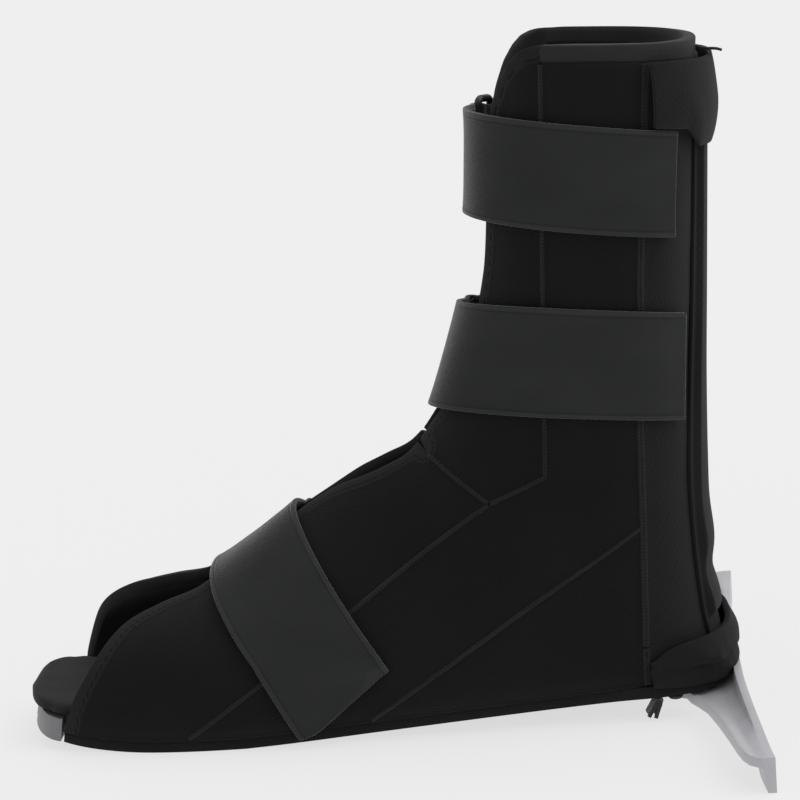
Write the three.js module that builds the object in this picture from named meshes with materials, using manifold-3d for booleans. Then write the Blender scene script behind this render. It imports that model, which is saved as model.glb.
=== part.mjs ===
// Anti-rotation orthopaedic boot: a padded cloth boot, open at the front and at the toes,
// closed by three straps, on a stiff sole plate with a cross bar behind the heel.
// Millimetres, +Z up, toes towards -X, the near side towards -Y. The boot stands on the
// ball of its sole and on the two tips of its cross bar.

import * as THREE from "three";
import { mergeVertices } from "three/addons/utils/BufferGeometryUtils.js";
import loadManifold from "manifold-3d";

const wasm = await loadManifold();
wasm.setup();

// Sizes of the padded cloth
const WALL = 5;
const SEAM_GAP = 0.3;
const SEAT_GAP = 0.3;

// Straps and their rings
const STRAP_WIDTH = 40;
const STRAP_THICKNESS = 2;
const STRAP_LIFT = 0.7;
const RING_BAR = 3;
const RING_SLOT = 7;
const TAB_LENGTH = 40;

// Sole: a cloth cover below a stiff plate, with a padded footbed on top
const SOLE_FLAT_FROM = -90;
const SOLE_FLAT_TO = -55;
const SOLE_RISE_DEG = 3.3;
const TOE_END = -144;
const TOE_SPRING = 6.5;
const COVER_THICKNESS = 4.5;
const COVER_FRONT = -129;
const PLATE_TOP = 9.2;
const LIP_SETBACK = 2.6;
const FOOTBED_THICKNESS = 5.2;
const FOOTBED_CLEARANCE = 1.5;

// Cross bar
const BAR_HALF_LENGTH = 128;
const BAR_REAR = 144;
const BAR_WALL = 3.4;
const BAR_WEB = 3.6;
const BAR_RIVET_X = 111;
const BAR_RIVET_Y = 13;
const SOLE_RIVET_X = 112.5;
const SOLE_RIVET_Y = 32;

// Sections of the boot form, from above the top edge, down the leg, round the heel and
// along the foot to the toe. Each runs from its front point to its back or sole point.
// The powers say how square a section is at its front and at its back. The flap angles
// say where the cloth stops on the near and on the far side, 0 being the front point.
const SECTION_COLUMNS = [
  "frontX", "frontZ", "backX", "backZ", "halfWidth", "belly", "frontPower", "backPower",
  "flapNear", "flapFar",
];
const SECTIONS = [
  [50.5, 272.0, 134.5, 264.0, 50.5, 0.50, 2.1, 2.6, 37, 37],
  [46.2, 219.0, 131.6, 209.0, 49.0, 0.50, 2.1, 2.6, 34, 34],
  [42.6, 176.0, 129.3, 166.0, 47.0, 0.50, 2.1, 2.6, 31, 31],
  [33.6, 138.0, 127.3, 128.0, 44.5, 0.52, 2.1, 2.6, 24, 24],
  [22.6, 117.0, 126.3, 92.0, 42.5, 0.54, 2.0, 2.6, 13, 14],
  [12.0, 107.0, 127.0, 62.0, 42.0, 0.56, 2.0, 2.7, 16, 18],
  [2.0, 102.5, 129.0, 38.0, 41.5, 0.58, 2.0, 2.8, 16, 15],
  [-7.0, 98.5, 131.0, 20.0, 41.5, 0.60, 2.0, 3.0, 14, 13],
  [-16.0, 94.0, 123.0, 6.0, 42.0, 0.60, 2.0, 3.4, 10, 15],
  [-26.0, 88.0, 95.0, 4.4, 43.0, 0.60, 2.0, 4.0, 8, 16],
  [-38.0, 79.5, 50.0, 1.4, 45.5, 0.60, 2.1, 4.0, 8, 16],
  [-52.0, 69.5, 3.0, -1.2, 48.5, 0.60, 2.2, 4.0, 9, 14],
  [-70.0, 58.5, -37.0, -3.2, 51.0, 0.60, 2.3, 4.0, 12, 10],
  [-87.0, 55.4, -70.0, -4.4, 51.0, 0.60, 2.4, 4.0, 21, 9],
  [-104.0, 52.2, -97.0, -4.2, 48.0, 0.60, 2.4, 4.0, 38, 14],
  [-120.0, 46.0, -118.0, -2.8, 42.5, 0.58, 2.4, 3.8, 78, 36],
  [-132.0, 38.5, -131.0, -1.2, 34.5, 0.57, 2.4, 3.6, 114, 72],
  [-140.0, 34.5, -139.5, 0.6, 25.5, 0.56, 2.4, 3.4, 134, 100],
  [-144.6, 31.0, -144.6, 2.4, 12.0, 0.55, 2.4, 3.0, 150, 130],
];
const STEPS_PER_SECTION = 2;
const SHELL_COLUMNS = 24;
const FORM_COLUMNS = 30;

// Seams in the side view, as corner points x, z
const SEAM = {
  trimFront: [75.6, 263.3],
  flapTop: [75.3, 256.8],
  flapFoot: [67.4, 99.6],
  fork: [45.4, 89.4],
  throat: [22.2, 106.8],
  throatReach: [-20, 138.4],
  vampFoot: [-92.4, -5],
  heelFoot: [-26.9, -5],
  heelTop: [103.5, 77.7],
  rearFoot: [102, -5],
  rearLow: [102, 30],
  rearAnkle: [104.4, 115.4],
  rearCalf: [107.5, 175.3],
  rearTop: [113.9, 254.6],
};
const PANEL_TOP_BACK = [160, 251.8];
const TRIM_TOP_BACK = [160, 258.4];

// Reach of the side-view cutters beyond the boot
const FAR_LEFT = -200;
const FAR_RIGHT = 200;
const FAR_SIDE = 200;
const HIGH = 300;

// Row of the section table at s, with a smooth curve between the rows
function sectionAt(s) {
  const last = SECTIONS.length - 1;
  const i = Math.min(Math.floor(s), last - 1);
  const t = s - i;
  const row = {};
  SECTION_COLUMNS.forEach((column, k) => {
    const p0 = SECTIONS[Math.max(i - 1, 0)][k];
    const p1 = SECTIONS[i][k];
    const p2 = SECTIONS[i + 1][k];
    const p3 = SECTIONS[Math.min(i + 2, last)][k];
    const a = 2 * p1;
    const b = (p2 - p0) * t;
    const c = (2 * p0 - 5 * p1 + 4 * p2 - p3) * t * t;
    const d = (3 * p1 - p0 - 3 * p2 + p3) * t * t * t;
    row[column] = (a + b + c + d) / 2;
  });
  return row;
}

// Point of the boot form at section s and an angle round it, lift mm outside the form.
// The angle is 0 at the front, a quarter turn on the near side, a half turn at the back.
function formPoint(s, angle, lift) {
  const row = sectionAt(s);
  const axis = new THREE.Vector2(row.backX - row.frontX, row.backZ - row.frontZ);
  const length = axis.length();
  axis.normalize();
  const cos = Math.cos(angle);
  const sin = Math.sin(angle);
  const share = cos > 0 ? row.belly : 1 - row.belly;
  const power = 2 / (cos > 0 ? row.frontPower : row.backPower);
  const reach = Math.sign(cos) * Math.abs(cos) ** power * (length * share + lift);
  const across = Math.sign(sin) * Math.abs(sin) ** power * (row.halfWidth + lift);
  const along = length * row.belly - reach;
  return new THREE.Vector3(
    row.frontX + axis.x * along,
    -across,
    row.frontZ + axis.y * along,
  );
}

// Height of the sole's underside
function soleHeight(x) {
  if (x < SOLE_FLAT_FROM) {
    const share = (SOLE_FLAT_FROM - x) / (SOLE_FLAT_FROM - TOE_END);
    return TOE_SPRING * share * share;
  }
  return Math.max(0, x - SOLE_FLAT_TO) * Math.tan(THREE.MathUtils.degToRad(SOLE_RISE_DEG));
}

// Closed solid from points and triangles
function solid(points, triangles) {
  const vertProperties = new Float32Array(points.length * 3);
  points.forEach((p, i) => p.toArray(vertProperties, i * 3));
  const triVerts = new Uint32Array(triangles);
  return new wasm.Manifold(new wasm.Mesh({ numProp: 3, vertProperties, triVerts }));
}

// Closed solid from a geometry
function solidOf(geometry) {
  geometry.deleteAttribute("normal");
  geometry.deleteAttribute("uv");
  const merged = mergeVertices(geometry, 1e-4);
  const mesh = new wasm.Mesh({
    numProp: 3,
    vertProperties: new Float32Array(merged.attributes.position.array),
    triVerts: new Uint32Array(merged.index.array),
  });
  return new wasm.Manifold(mesh);
}

// Thick sheet between an outer and an inner grid of points
function sheet(outer, inner, rows, columns) {
  const points = [];
  for (const grid of [outer, inner]) {
    for (let i = 0; i <= rows; i++) {
      for (let j = 0; j <= columns; j++) points.push(grid(i, j));
    }
  }
  const width = columns + 1;
  const half = (rows + 1) * width;
  const triangles = [];
  const quad = (a, b, c, d) => triangles.push(a, c, b, a, d, c);
  for (let i = 0; i < rows; i++) {
    for (let j = 0; j < columns; j++) {
      const a = i * width + j;
      const b = a + 1;
      const c = a + width + 1;
      const d = a + width;
      quad(a, b, c, d);
      quad(half + a, half + d, half + c, half + b);
    }
  }
  for (let i = 0; i < rows; i++) {
    const a = i * width;
    const b = a + columns;
    quad(a, a + width, half + a + width, half + a);
    quad(b, half + b, half + b + width, b + width);
  }
  const foot = rows * width;
  for (let j = 0; j < columns; j++) {
    quad(j, half + j, half + j + 1, j + 1);
    quad(foot + j, foot + j + 1, half + foot + j + 1, half + foot + j);
  }
  return solid(points, triangles);
}

// Solid of closed rings joined one to the next, with a flat lid on each end ring
function rings(ringList) {
  const count = ringList[0].length;
  const points = ringList.flat();
  const triangles = [];
  for (let i = 0; i + 1 < ringList.length; i++) {
    for (let j = 0; j < count; j++) {
      const k = (j + 1) % count;
      const a = i * count + j;
      const b = i * count + k;
      triangles.push(a, b, b + count, a, b + count, a + count);
    }
  }
  const flat = (p) => new THREE.Vector2(p.dot(lidX), p.dot(lidY));
  const first = ringList[0];
  const lidX = first[1].clone().sub(first[0]).normalize();
  const side = first[Math.floor(count / 3)].clone().sub(first[0]);
  const lidY = side.addScaledVector(lidX, -side.dot(lidX)).normalize();
  const end = (ringList.length - 1) * count;
  THREE.ShapeUtils.triangulateShape(first.map(flat), []).forEach(([a, b, c]) => {
    triangles.push(a, c, b);
  });
  THREE.ShapeUtils.triangulateShape(ringList.at(-1).map(flat), []).forEach(([a, b, c]) => {
    triangles.push(end + a, end + b, end + c);
  });
  return solid(points, triangles);
}

// How near an angle round the boot is to its back, from 0 at the sides to 1
function backShare(angle) {
  return Math.max(0, -Math.cos(angle));
}

// Whole boot form between two sections; the lift outside the cloth is a function of the
// section and the angle
function form(lift, from = 0, to = SECTIONS.length - 1) {
  const count = Math.round((to - from) * STEPS_PER_SECTION);
  const list = [];
  for (let i = 0; i <= count; i++) {
    const s = from + i / STEPS_PER_SECTION;
    const ring = [];
    for (let j = 0; j < FORM_COLUMNS; j++) {
      const angle = (2 * Math.PI * j) / FORM_COLUMNS;
      ring.push(formPoint(s, angle, lift(s, angle)));
    }
    list.unshift(ring);
  }
  return rings(list);
}

// Layer over the boot form, lifted off it, with a thickness
function layer(lift, thickness, from, to) {
  const outer = form((s, angle) => lift(s, angle) + thickness(s, angle), from, to);
  return outer.subtract(form(lift, from, to));
}

// Side-view outline x, z drawn out across the boot from y0 to y1; a tilt lifts it towards
// the near side
function prism(outline, y0 = -FAR_SIDE, y1 = FAR_SIDE, tilt = 0) {
  const shape = new THREE.Shape(outline.map(([x, z]) => new THREE.Vector2(x, z)));
  const geometry = new THREE.ExtrudeGeometry(shape, { depth: y1 - y0, bevelEnabled: false });
  geometry.rotateX(Math.PI / 2);
  geometry.translate(0, y1, 0);
  geometry.applyMatrix4(new THREE.Matrix4().makeShear(0, 0, 0, -tilt, 0, 0));
  return solidOf(geometry);
}

// Side-view outline moved inwards by half the seam gap
function eased(outline) {
  const points = outline.map(([x, z]) => new THREE.Vector2(x, z));
  const turn = Math.sign(THREE.ShapeUtils.area(points));
  return points.map((p, i) => {
    const before = points.at(i - 1).clone();
    const after = points[(i + 1) % points.length].clone();
    const u = p.clone().sub(before).normalize();
    const v = after.sub(p).normalize();
    const inner = new THREE.Vector2(-u.y - v.y, u.x + v.x).multiplyScalar(turn);
    const share = SEAM_GAP / (1 + u.dot(v)) / 2;
    return [p.x + inner.x * share, p.y + inner.y * share];
  });
}

// Slab that follows the sole, between two heights above its underside
function soleSlab(low, high, from, to) {
  const xs = [];
  for (let k = 0; k < 5; k++) {
    xs.push(THREE.MathUtils.lerp(TOE_END, SOLE_FLAT_FROM, k / 5));
  }
  xs.push(SOLE_FLAT_FROM, SOLE_FLAT_TO, FAR_RIGHT);
  const inside = xs.filter((x) => x > from && x < to);
  const stops = [from, ...inside, to];
  const under = stops.map((x) => [x, soleHeight(x) + low]);
  const over = stops.map((x) => [x, soleHeight(x) + high]).reverse();
  return prism([...under, ...over]);
}

// Materials
const loopCloth = new THREE.MeshStandardMaterial({ color: 0x18181a, roughness: 0.95, metalness: 0 });
const knitCloth = new THREE.MeshStandardMaterial({ color: 0x252528, roughness: 0.9, metalness: 0 });
const trimCloth = new THREE.MeshStandardMaterial({ color: 0x454649, roughness: 0.8, metalness: 0 });
const strapCloth = new THREE.MeshStandardMaterial({ color: 0x303134, roughness: 0.85, metalness: 0 });
const footCloth = new THREE.MeshStandardMaterial({ color: 0x2b2b2e, roughness: 0.9, metalness: 0 });
const greyPlastic = new THREE.MeshStandardMaterial({ color: 0xacabb0, roughness: 0.45, metalness: 0 });
const blackPlastic = new THREE.MeshStandardMaterial({ color: 0x101012, roughness: 0.4, metalness: 0 });

// Named mesh of a solid
const boot = new THREE.Group();
boot.name = "anti_rotation_boot";
function add(name, body, material) {
  const { vertProperties, triVerts } = body.getMesh();
  const geometry = new THREE.BufferGeometry();
  geometry.setAttribute("position", new THREE.BufferAttribute(vertProperties, 3));
  geometry.setIndex(new THREE.BufferAttribute(triVerts, 1));
  geometry.computeVertexNormals();
  const mesh = new THREE.Mesh(geometry, material.clone());
  mesh.name = name;
  boot.add(mesh);
}

// Padded shell, open at the front, above the edge of the sole cover
const SHELL_FROM = 0;
const SHELL_TO = 16;
const shellRows = (SHELL_TO - SHELL_FROM) * STEPS_PER_SECTION;
function shellPoint(lift) {
  return (i, j) => {
    const s = SHELL_FROM + i / STEPS_PER_SECTION;
    const row = sectionAt(s);
    const near = THREE.MathUtils.degToRad(row.flapNear);
    const far = 2 * Math.PI - THREE.MathUtils.degToRad(row.flapFar);
    const half = SHELL_COLUMNS / 2;
    const angle = j <= half
      ? THREE.MathUtils.lerp(near, Math.PI, j / half)
      : THREE.MathUtils.lerp(Math.PI, far, j / half - 1);
    return formPoint(s, angle, lift);
  };
}
const aboveSole = soleSlab(COVER_THICKNESS + SEAT_GAP, HIGH, COVER_FRONT, FAR_RIGHT);
const shell = sheet(shellPoint(0), shellPoint(-WALL), shellRows, SHELL_COLUMNS).intersect(aboveSole);

// Panels between the seams, each drawn in the side view and cut from the shell
const SHIN_FLAP = [
  SEAM.fork, SEAM.flapFoot, SEAM.trimFront, [71.5, 263.0], [67.5, 261.2], [64.0, 258.0],
  [60.0, 251.5], [56.8, 243.0], [54.5, 235.0], [FAR_LEFT, 235.0], [FAR_LEFT, 146.0],
  [8.0, 120.0], [18.0, 113.5], [20.8, 108.2], [25.6, 104.2],
];
const VAMP = [
  SEAM.fork, SEAM.throat, SEAM.throatReach, [FAR_LEFT, 138.4], [FAR_LEFT, -5], SEAM.vampFoot,
];
const SIDE_PANEL = [
  SEAM.flapTop, SEAM.flapFoot, SEAM.fork, SEAM.vampFoot, SEAM.heelFoot, SEAM.heelTop,
  SEAM.rearAnkle, SEAM.rearCalf, SEAM.rearTop,
];
const HEEL_PANEL = [SEAM.heelFoot, SEAM.rearFoot, SEAM.rearLow, SEAM.heelTop];
const BACK_PANEL = [
  SEAM.rearTop, SEAM.rearCalf, SEAM.rearAnkle, SEAM.heelTop, SEAM.rearLow, SEAM.rearFoot,
  [FAR_RIGHT, -5], PANEL_TOP_BACK,
];
const TOP_TRIM = [SEAM.flapTop, SEAM.rearTop, PANEL_TOP_BACK, TRIM_TOP_BACK, SEAM.trimFront];

const PANELS = {
  shin_flap: SHIN_FLAP, vamp: VAMP, side_panel: SIDE_PANEL, heel_panel: HEEL_PANEL,
};
for (const [name, outline] of Object.entries(PANELS)) {
  add(`${name}_near`, shell.intersect(prism(eased(outline), -FAR_SIDE, 0)), loopCloth);
  add(`${name}_far`, shell.intersect(prism(eased(outline), 0, FAR_SIDE)), loopCloth);
}
add("back_panel", shell.intersect(prism(eased(BACK_PANEL))), knitCloth);
add("top_trim", shell.intersect(prism(eased(TOP_TRIM))), trimCloth);

// Splint pocket down the back, gathered in two soft folds at its foot
const POCKET_HALF_WIDTH = 27;
const POCKET_DEPTH = 3.8;
const POCKET_FOLD = 1.3;
const POCKET_SIDE = [[115, 41], [FAR_RIGHT, 41], [FAR_RIGHT, 218], [115, 218]];
const seated = () => STRAP_LIFT;
function pocketDepth(s) {
  const fold = Math.cos((s - 4.7) * 2 * Math.PI / 1.2) * Math.exp(-((s - 5.3) ** 2) / 0.6);
  return POCKET_DEPTH + POCKET_FOLD * fold;
}
const pocketCut = prism(POCKET_SIDE, -POCKET_HALF_WIDTH, POCKET_HALF_WIDTH);
add("splint_pocket", layer(seated, pocketDepth, 0.5, 7).intersect(pocketCut), knitCloth);

// Fold-over flap above the pocket, thin at its sides and thick at the back
const FLAP_SIDE_THICKNESS = 1.4;
const FLAP_BACK_THICKNESS = 6.8;
const FLAP_SIDE = [
  [115, 231.8], [124.3, 230.8], [127.5, 221.5], [FAR_RIGHT, 219], [FAR_RIGHT, 249.5], [115, 254],
];
const flapThickness = (s, angle) => THREE.MathUtils.lerp(
  FLAP_SIDE_THICKNESS, FLAP_BACK_THICKNESS, backShare(angle),
);
add("pocket_flap", layer(seated, flapThickness, 0, 3).intersect(prism(FLAP_SIDE)), knitCloth);

// Band round the heel: it leaves the cloth towards the back, where it leans outwards
const BAND_SIDE_THICKNESS = 2.4;
const BAND_BACK_THICKNESS = 4.6;
const BAND_LIFT_BACK = 3.6;
const BAND_SIDE = [
  [103.5, 15.8], [136, 17.6], [FAR_RIGHT, 17.6], [FAR_RIGHT, 41], [136, 37], [120, 32.5],
  [103.5, 26.5],
];
function bandLift(s, angle) {
  const height = THREE.MathUtils.clamp(7.6 - s, 0, 1);
  return STRAP_LIFT + BAND_LIFT_BACK * height * backShare(angle);
}
const bandThickness = (s, angle) => THREE.MathUtils.lerp(
  BAND_SIDE_THICKNESS, BAND_BACK_THICKNESS, backShare(angle),
);
add("heel_band", layer(bandLift, bandThickness, 5, 9).intersect(prism(BAND_SIDE)), loopCloth);

// Straps with their rings and sewn tabs. Each strap is drawn in the side view with its
// free end first, and its tilt is its rise per mm towards the near side. Its ring sits at
// a section and an angle on the far side of the front.
const STRAPS = [
  {
    name: "upper", section: 1.05, angle: -31, ringLift: 0.6, from: 0, to: 3, tilt: 0.03,
    outline: [[123.6, 226.7], [120.6, 187.4], [20, 201], [20, 241.8]],
  },
  {
    name: "lower", section: 3.03, angle: -36, ringLift: 1.6, from: 1, to: 6, tilt: 0.13,
    outline: [[123.3, 154.5], [120.4, 113.4], [5, 123.8], [5, 166.6]],
  },
  {
    name: "forefoot", section: 11, angle: -34, ringLift: 0.9, from: 8, to: 15, tilt: 0,
    outline: [
      [2.6, 30.0], [1.6, 27.2], [-27.0, 5.8], [-34.2, 5.2], [-48.5, 33.5], [-64.8, 57.5],
      [-78.0, 76.7], [-44.3, 101.8], [-30.5, 84.5],
    ],
  },
];
const strapThickness = () => STRAP_THICKNESS;
const ringHalf = RING_SLOT / 2 + RING_BAR;
const ringReach = STRAP_WIDTH / 2 + 1;

// Axes of a ring: x runs round the boot to the back, y along it, z out of the cloth
function ringFrame(section, degrees, lift) {
  const angle = THREE.MathUtils.degToRad(degrees);
  const centre = formPoint(section, angle, lift);
  const round = formPoint(section, angle - 0.05, 0).sub(formPoint(section, angle + 0.05, 0));
  const along = formPoint(section - 0.2, angle, 0).sub(formPoint(section + 0.2, angle, 0));
  const x = round.normalize();
  const z = along.cross(x).normalize();
  const y = z.clone().cross(x);
  return new THREE.Matrix4().makeBasis(x, y, z).setPosition(centre);
}

// Box between two corners in the axes of a ring
function boxIn(frame, low, high) {
  const size = high.clone().sub(low);
  const middle = high.clone().add(low).multiplyScalar(0.5);
  const geometry = new THREE.BoxGeometry(size.x, size.y, size.z);
  geometry.translate(middle.x, middle.y, middle.z);
  geometry.applyMatrix4(frame);
  return solidOf(geometry);
}

const farHalf = prism(
  [[FAR_LEFT, -50], [FAR_RIGHT, -50], [FAR_RIGHT, HIGH], [FAR_LEFT, HIGH]], 2, FAR_SIDE,
);
for (const strap of STRAPS) {
  const frame = ringFrame(strap.section, strap.angle, strap.ringLift);
  const cut = prism(strap.outline, -FAR_SIDE, FAR_SIDE, strap.tilt);
  const band = layer(seated, strapThickness, strap.from, strap.to).intersect(cut);
  const end = ringHalf + SEAT_GAP;
  const beyond = boxIn(frame, new THREE.Vector3(-end, -70, -150), new THREE.Vector3(300, 70, 40))
    .intersect(farHalf);
  const tabBox = boxIn(
    frame, new THREE.Vector3(end, -70, -40), new THREE.Vector3(end + TAB_LENGTH, 70, 40),
  );
  add(`strap_${strap.name}`, band.subtract(beyond), strapCloth);
  add(`tab_${strap.name}`, band.intersect(tabBox), strapCloth);

  const outer = [
    [-ringHalf, -ringReach - RING_BAR], [ringHalf, -ringReach - RING_BAR],
    [ringHalf, ringReach + RING_BAR], [-ringHalf, ringReach + RING_BAR],
  ];
  const shape = new THREE.Shape(outer.map(([x, y]) => new THREE.Vector2(x, y)));
  const slot = outer.map(([x, y]) => new THREE.Vector2(
    x - Math.sign(x) * RING_BAR, y - Math.sign(y) * RING_BAR,
  ));
  shape.holes.push(new THREE.Path(slot.reverse()));
  const geometry = new THREE.ExtrudeGeometry(shape, { depth: RING_BAR, bevelEnabled: false });
  geometry.applyMatrix4(frame);
  add(`ring_${strap.name}`, solidOf(geometry), blackPlastic);
}

// Sole cover, plate and footbed. The cover swells out round the heel.
const COVER_HEEL_SWELL = 6.4;
const coverLift = (s, angle) => {
  const heel = Math.exp(-((s - 7.6) ** 2) / 1.2);
  return COVER_HEEL_SWELL * heel * backShare(angle);
};
const insideLift = () => -WALL - FOOTBED_CLEARANCE;
const plateLift = () => -WALL - 2;
const lipLift = () => -1.4;
const toePadLift = () => -0.6;
let cover = form(coverLift).intersect(soleSlab(0, COVER_THICKNESS, COVER_FRONT, FAR_RIGHT));
const plateSlab = soleSlab(COVER_THICKNESS + SEAT_GAP, PLATE_TOP, COVER_FRONT - 1, FAR_RIGHT);
const lipSlab = soleSlab(0.2, PLATE_TOP, TOE_END - 6, COVER_FRONT - SEAT_GAP);
const lip = form(lipLift).translate([LIP_SETBACK, 0, 0]).intersect(lipSlab);
let plate = form(plateLift).intersect(plateSlab).add(lip);
const footbedLow = PLATE_TOP + SEAT_GAP;
const footbedHigh = footbedLow + FOOTBED_THICKNESS;
const footbedSlab = soleSlab(footbedLow, footbedHigh, COVER_FRONT - 1, FAR_RIGHT);
const toePadSlab = soleSlab(footbedLow, footbedHigh, TOE_END, COVER_FRONT - SEAT_GAP);
const footbed = form(insideLift).intersect(footbedSlab);
add("footbed", footbed.add(form(toePadLift).intersect(toePadSlab)), footCloth);

// Cross bar: stations along half its length. The web is a plate that widens under the
// heel and rises to the tips; a low wall stands along its rear edge, with a foot below
// each tip.
const BAR_COLUMNS = ["y", "webFront", "webTop", "rear", "wallTop", "foot"];
const BAR_STATIONS = [
  [0, 103.0, 8.3, 138.8, 15.8, 4.6],
  [20, 103.0, 8.3, 138.8, 15.8, 4.6],
  [24, 112.0, 8.3, 138.8, 15.8, 4.6],
  [28, 117.0, 8.3, 138.8, 15.8, 4.6],
  [34, 118.4, 8.3, 138.8, 15.8, 4.6],
  [41, 121.0, 8.6, 138.9, 15.7, 4.8],
  [52, 123.8, 9.6, 139.3, 15.4, 5.6],
  [72, 126.6, 11.2, 140.3, 14.8, 6.6],
  [94, 129.4, 12.4, 141.6, 14.2, 4.0],
  [110, 131.4, 12.9, 142.6, 13.6, 0],
  [119, 133.0, 13.0, 143.2, 13.3, 0],
  [124.5, 135.0, 13.05, 143.7, 13.2, 0],
  [127.2, 137.6, 13.1, 143.9, 13.2, 0],
  [BAR_HALF_LENGTH, 139.6, 13.1, BAR_REAR, 13.2, 0],
];
function barSection(station, side) {
  const row = Object.fromEntries(BAR_COLUMNS.map((column, k) => [column, station[k]]));
  const inner = row.rear - BAR_WALL;
  const under = row.webTop - BAR_WEB;
  const corners = [
    [row.webFront, under],
    [row.webFront, row.webTop],
    [inner - 1.5, row.webTop],
    [inner, Math.min(row.webTop + 1.5, row.wallTop)],
    [inner + 0.4, row.wallTop],
    [row.rear, row.wallTop],
    [row.rear, row.foot],
    [inner + 0.3, row.foot],
    [inner - 1.2, Math.max(row.foot, under)],
  ];
  return corners.map(([x, z]) => new THREE.Vector3(x, side * row.y, z));
}
const barRings = [
  ...BAR_STATIONS.slice(1).reverse().map((station) => barSection(station, -1)),
  ...BAR_STATIONS.map((station) => barSection(station, 1)),
];
let bar = rings(barRings);

// Rivets: a head below and a shank above, with the clearance of its hole
function rivet({ x, y, seat, top, head, headHeight, shank }, clearance) {
  const profile = [
    new THREE.Vector2(0, seat - headHeight),
    new THREE.Vector2(head * 0.7, seat - headHeight),
    new THREE.Vector2(head, seat - headHeight * 0.4),
    new THREE.Vector2(head, seat),
    new THREE.Vector2(shank + clearance, seat),
    new THREE.Vector2(shank + clearance, top + clearance),
    new THREE.Vector2(0, top + clearance),
  ];
  const geometry = new THREE.LatheGeometry(profile, 10);
  geometry.rotateX(Math.PI / 2);
  geometry.translate(x, y, 0);
  return solidOf(geometry);
}
const barSeat = BAR_STATIONS[0][2] - BAR_WEB - SEAT_GAP;
const soleSeat = soleHeight(SOLE_RIVET_X) - 2 * SEAT_GAP;
for (const [side, sign] of [["near", -1], ["far", 1]]) {
  const barRivet = {
    x: BAR_RIVET_X, y: sign * BAR_RIVET_Y, seat: barSeat, top: 15, head: 4.6, headHeight: 1.8,
    shank: 2.2,
  };
  const soleRivet = {
    x: SOLE_RIVET_X, y: sign * SOLE_RIVET_Y, seat: soleSeat, top: soleSeat + 4, head: 3,
    headHeight: 2.6, shank: 1.6,
  };
  const barHole = rivet(barRivet, SEAT_GAP);
  bar = bar.subtract(barHole);
  plate = plate.subtract(barHole);
  cover = cover.subtract(barHole).subtract(rivet(soleRivet, SEAT_GAP));
  add(`bar_rivet_${side}`, rivet(barRivet, 0), blackPlastic);
  add(`sole_rivet_${side}`, rivet(soleRivet, 0), blackPlastic);
}
add("sole_cover", cover, loopCloth);
add("sole_plate", plate, greyPlastic);
add("anti_rotation_bar", bar, greyPlastic);

// Folded webbing tail that hangs below the near edge of the heel
const TAIL_OUTLINE = [
  [104.0, 8.8], [101.8, 1.8], [103.4, 1.3], [105.4, 6.6], [106.2, 6.6], [104.9, 1.1],
  [106.5, 0.9], [108.6, 8.8],
];
add("heel_tail", prism(TAIL_OUTLINE, -39.5, -30.5), strapCloth);

export default boot;
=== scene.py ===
# %% [markdown]
# # A cloth boot that cannot roll to one side
# The boot is a padded cloth shell on a stiff sole, with a cross bar behind the heel. The
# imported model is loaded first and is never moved: it gives the place and the size of every
# piece. Each soft piece is then modelled again, finer, over the solid that it stands for.

# %% Load the frame
import math
from collections import namedtuple
from functools import lru_cache

import bmesh
import bpy
from mathutils import Matrix, Vector, kdtree, noise
from mathutils.bvhtree import BVHTree


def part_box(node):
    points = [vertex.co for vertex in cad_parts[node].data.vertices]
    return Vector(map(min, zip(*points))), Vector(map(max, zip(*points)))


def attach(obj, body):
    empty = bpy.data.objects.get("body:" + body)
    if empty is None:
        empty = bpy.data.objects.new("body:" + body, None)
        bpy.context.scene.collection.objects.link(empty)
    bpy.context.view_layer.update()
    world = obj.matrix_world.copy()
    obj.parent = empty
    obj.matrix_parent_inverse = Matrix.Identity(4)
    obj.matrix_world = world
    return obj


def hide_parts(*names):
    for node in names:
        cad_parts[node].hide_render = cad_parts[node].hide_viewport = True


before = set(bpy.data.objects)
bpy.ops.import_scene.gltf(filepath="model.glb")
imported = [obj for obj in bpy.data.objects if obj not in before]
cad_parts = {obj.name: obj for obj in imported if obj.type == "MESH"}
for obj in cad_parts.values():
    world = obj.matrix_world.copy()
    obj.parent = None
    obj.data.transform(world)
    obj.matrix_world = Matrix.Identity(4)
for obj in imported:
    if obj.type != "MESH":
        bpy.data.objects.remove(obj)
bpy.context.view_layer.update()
MM = 0.001
print("nodes in the frame:", len(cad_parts))

# %% [markdown]
# ## The studio
# A product picture like this is taken on a glowing white sweep, with soft light from all
# round. A pale sky lights everything, one broad sun lights it from above, and a second one
# from the right lights the heel and the bar. The camera stands where the picture was taken:
# a long lens, a little above the boot, turned and tipped by the angles below.

# %% Floor, light and camera
scene = bpy.context.scene
scene.view_settings.view_transform = "Standard"
SKY = 0.62
Sun = namedtuple("Sun", "name strength width_deg toward")
SUNS = (
    Sun("top_light", 0.95, 60, (0.25, 0.10, 1.0)),
    Sun("rim_light", 0.7, 55, (0.9, -0.10, 0.6)),
)
FLOOR_GLOW = 0.68
FLOOR_DARK, FLOOR_LIGHT = (0.17, 0.17, 0.17), (0.18, 0.18, 0.18)
FLOOR_HALF = 40.0
FLOOR_DROP = 0.1 * MM

world = bpy.data.worlds.new("pale_sky")
world.use_nodes = True
world.node_tree.nodes["Background"].inputs["Color"].default_value = (SKY, SKY, SKY, 1)
scene.world = world

for sun in SUNS:
    lamp = bpy.data.objects.new(sun.name, bpy.data.lights.new(sun.name, "SUN"))
    lamp.data.energy = sun.strength
    lamp.data.angle = math.radians(sun.width_deg)
    lamp.rotation_euler = Vector(sun.toward).to_track_quat("Z", "Y").to_euler()
    scene.collection.objects.link(lamp)

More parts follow.
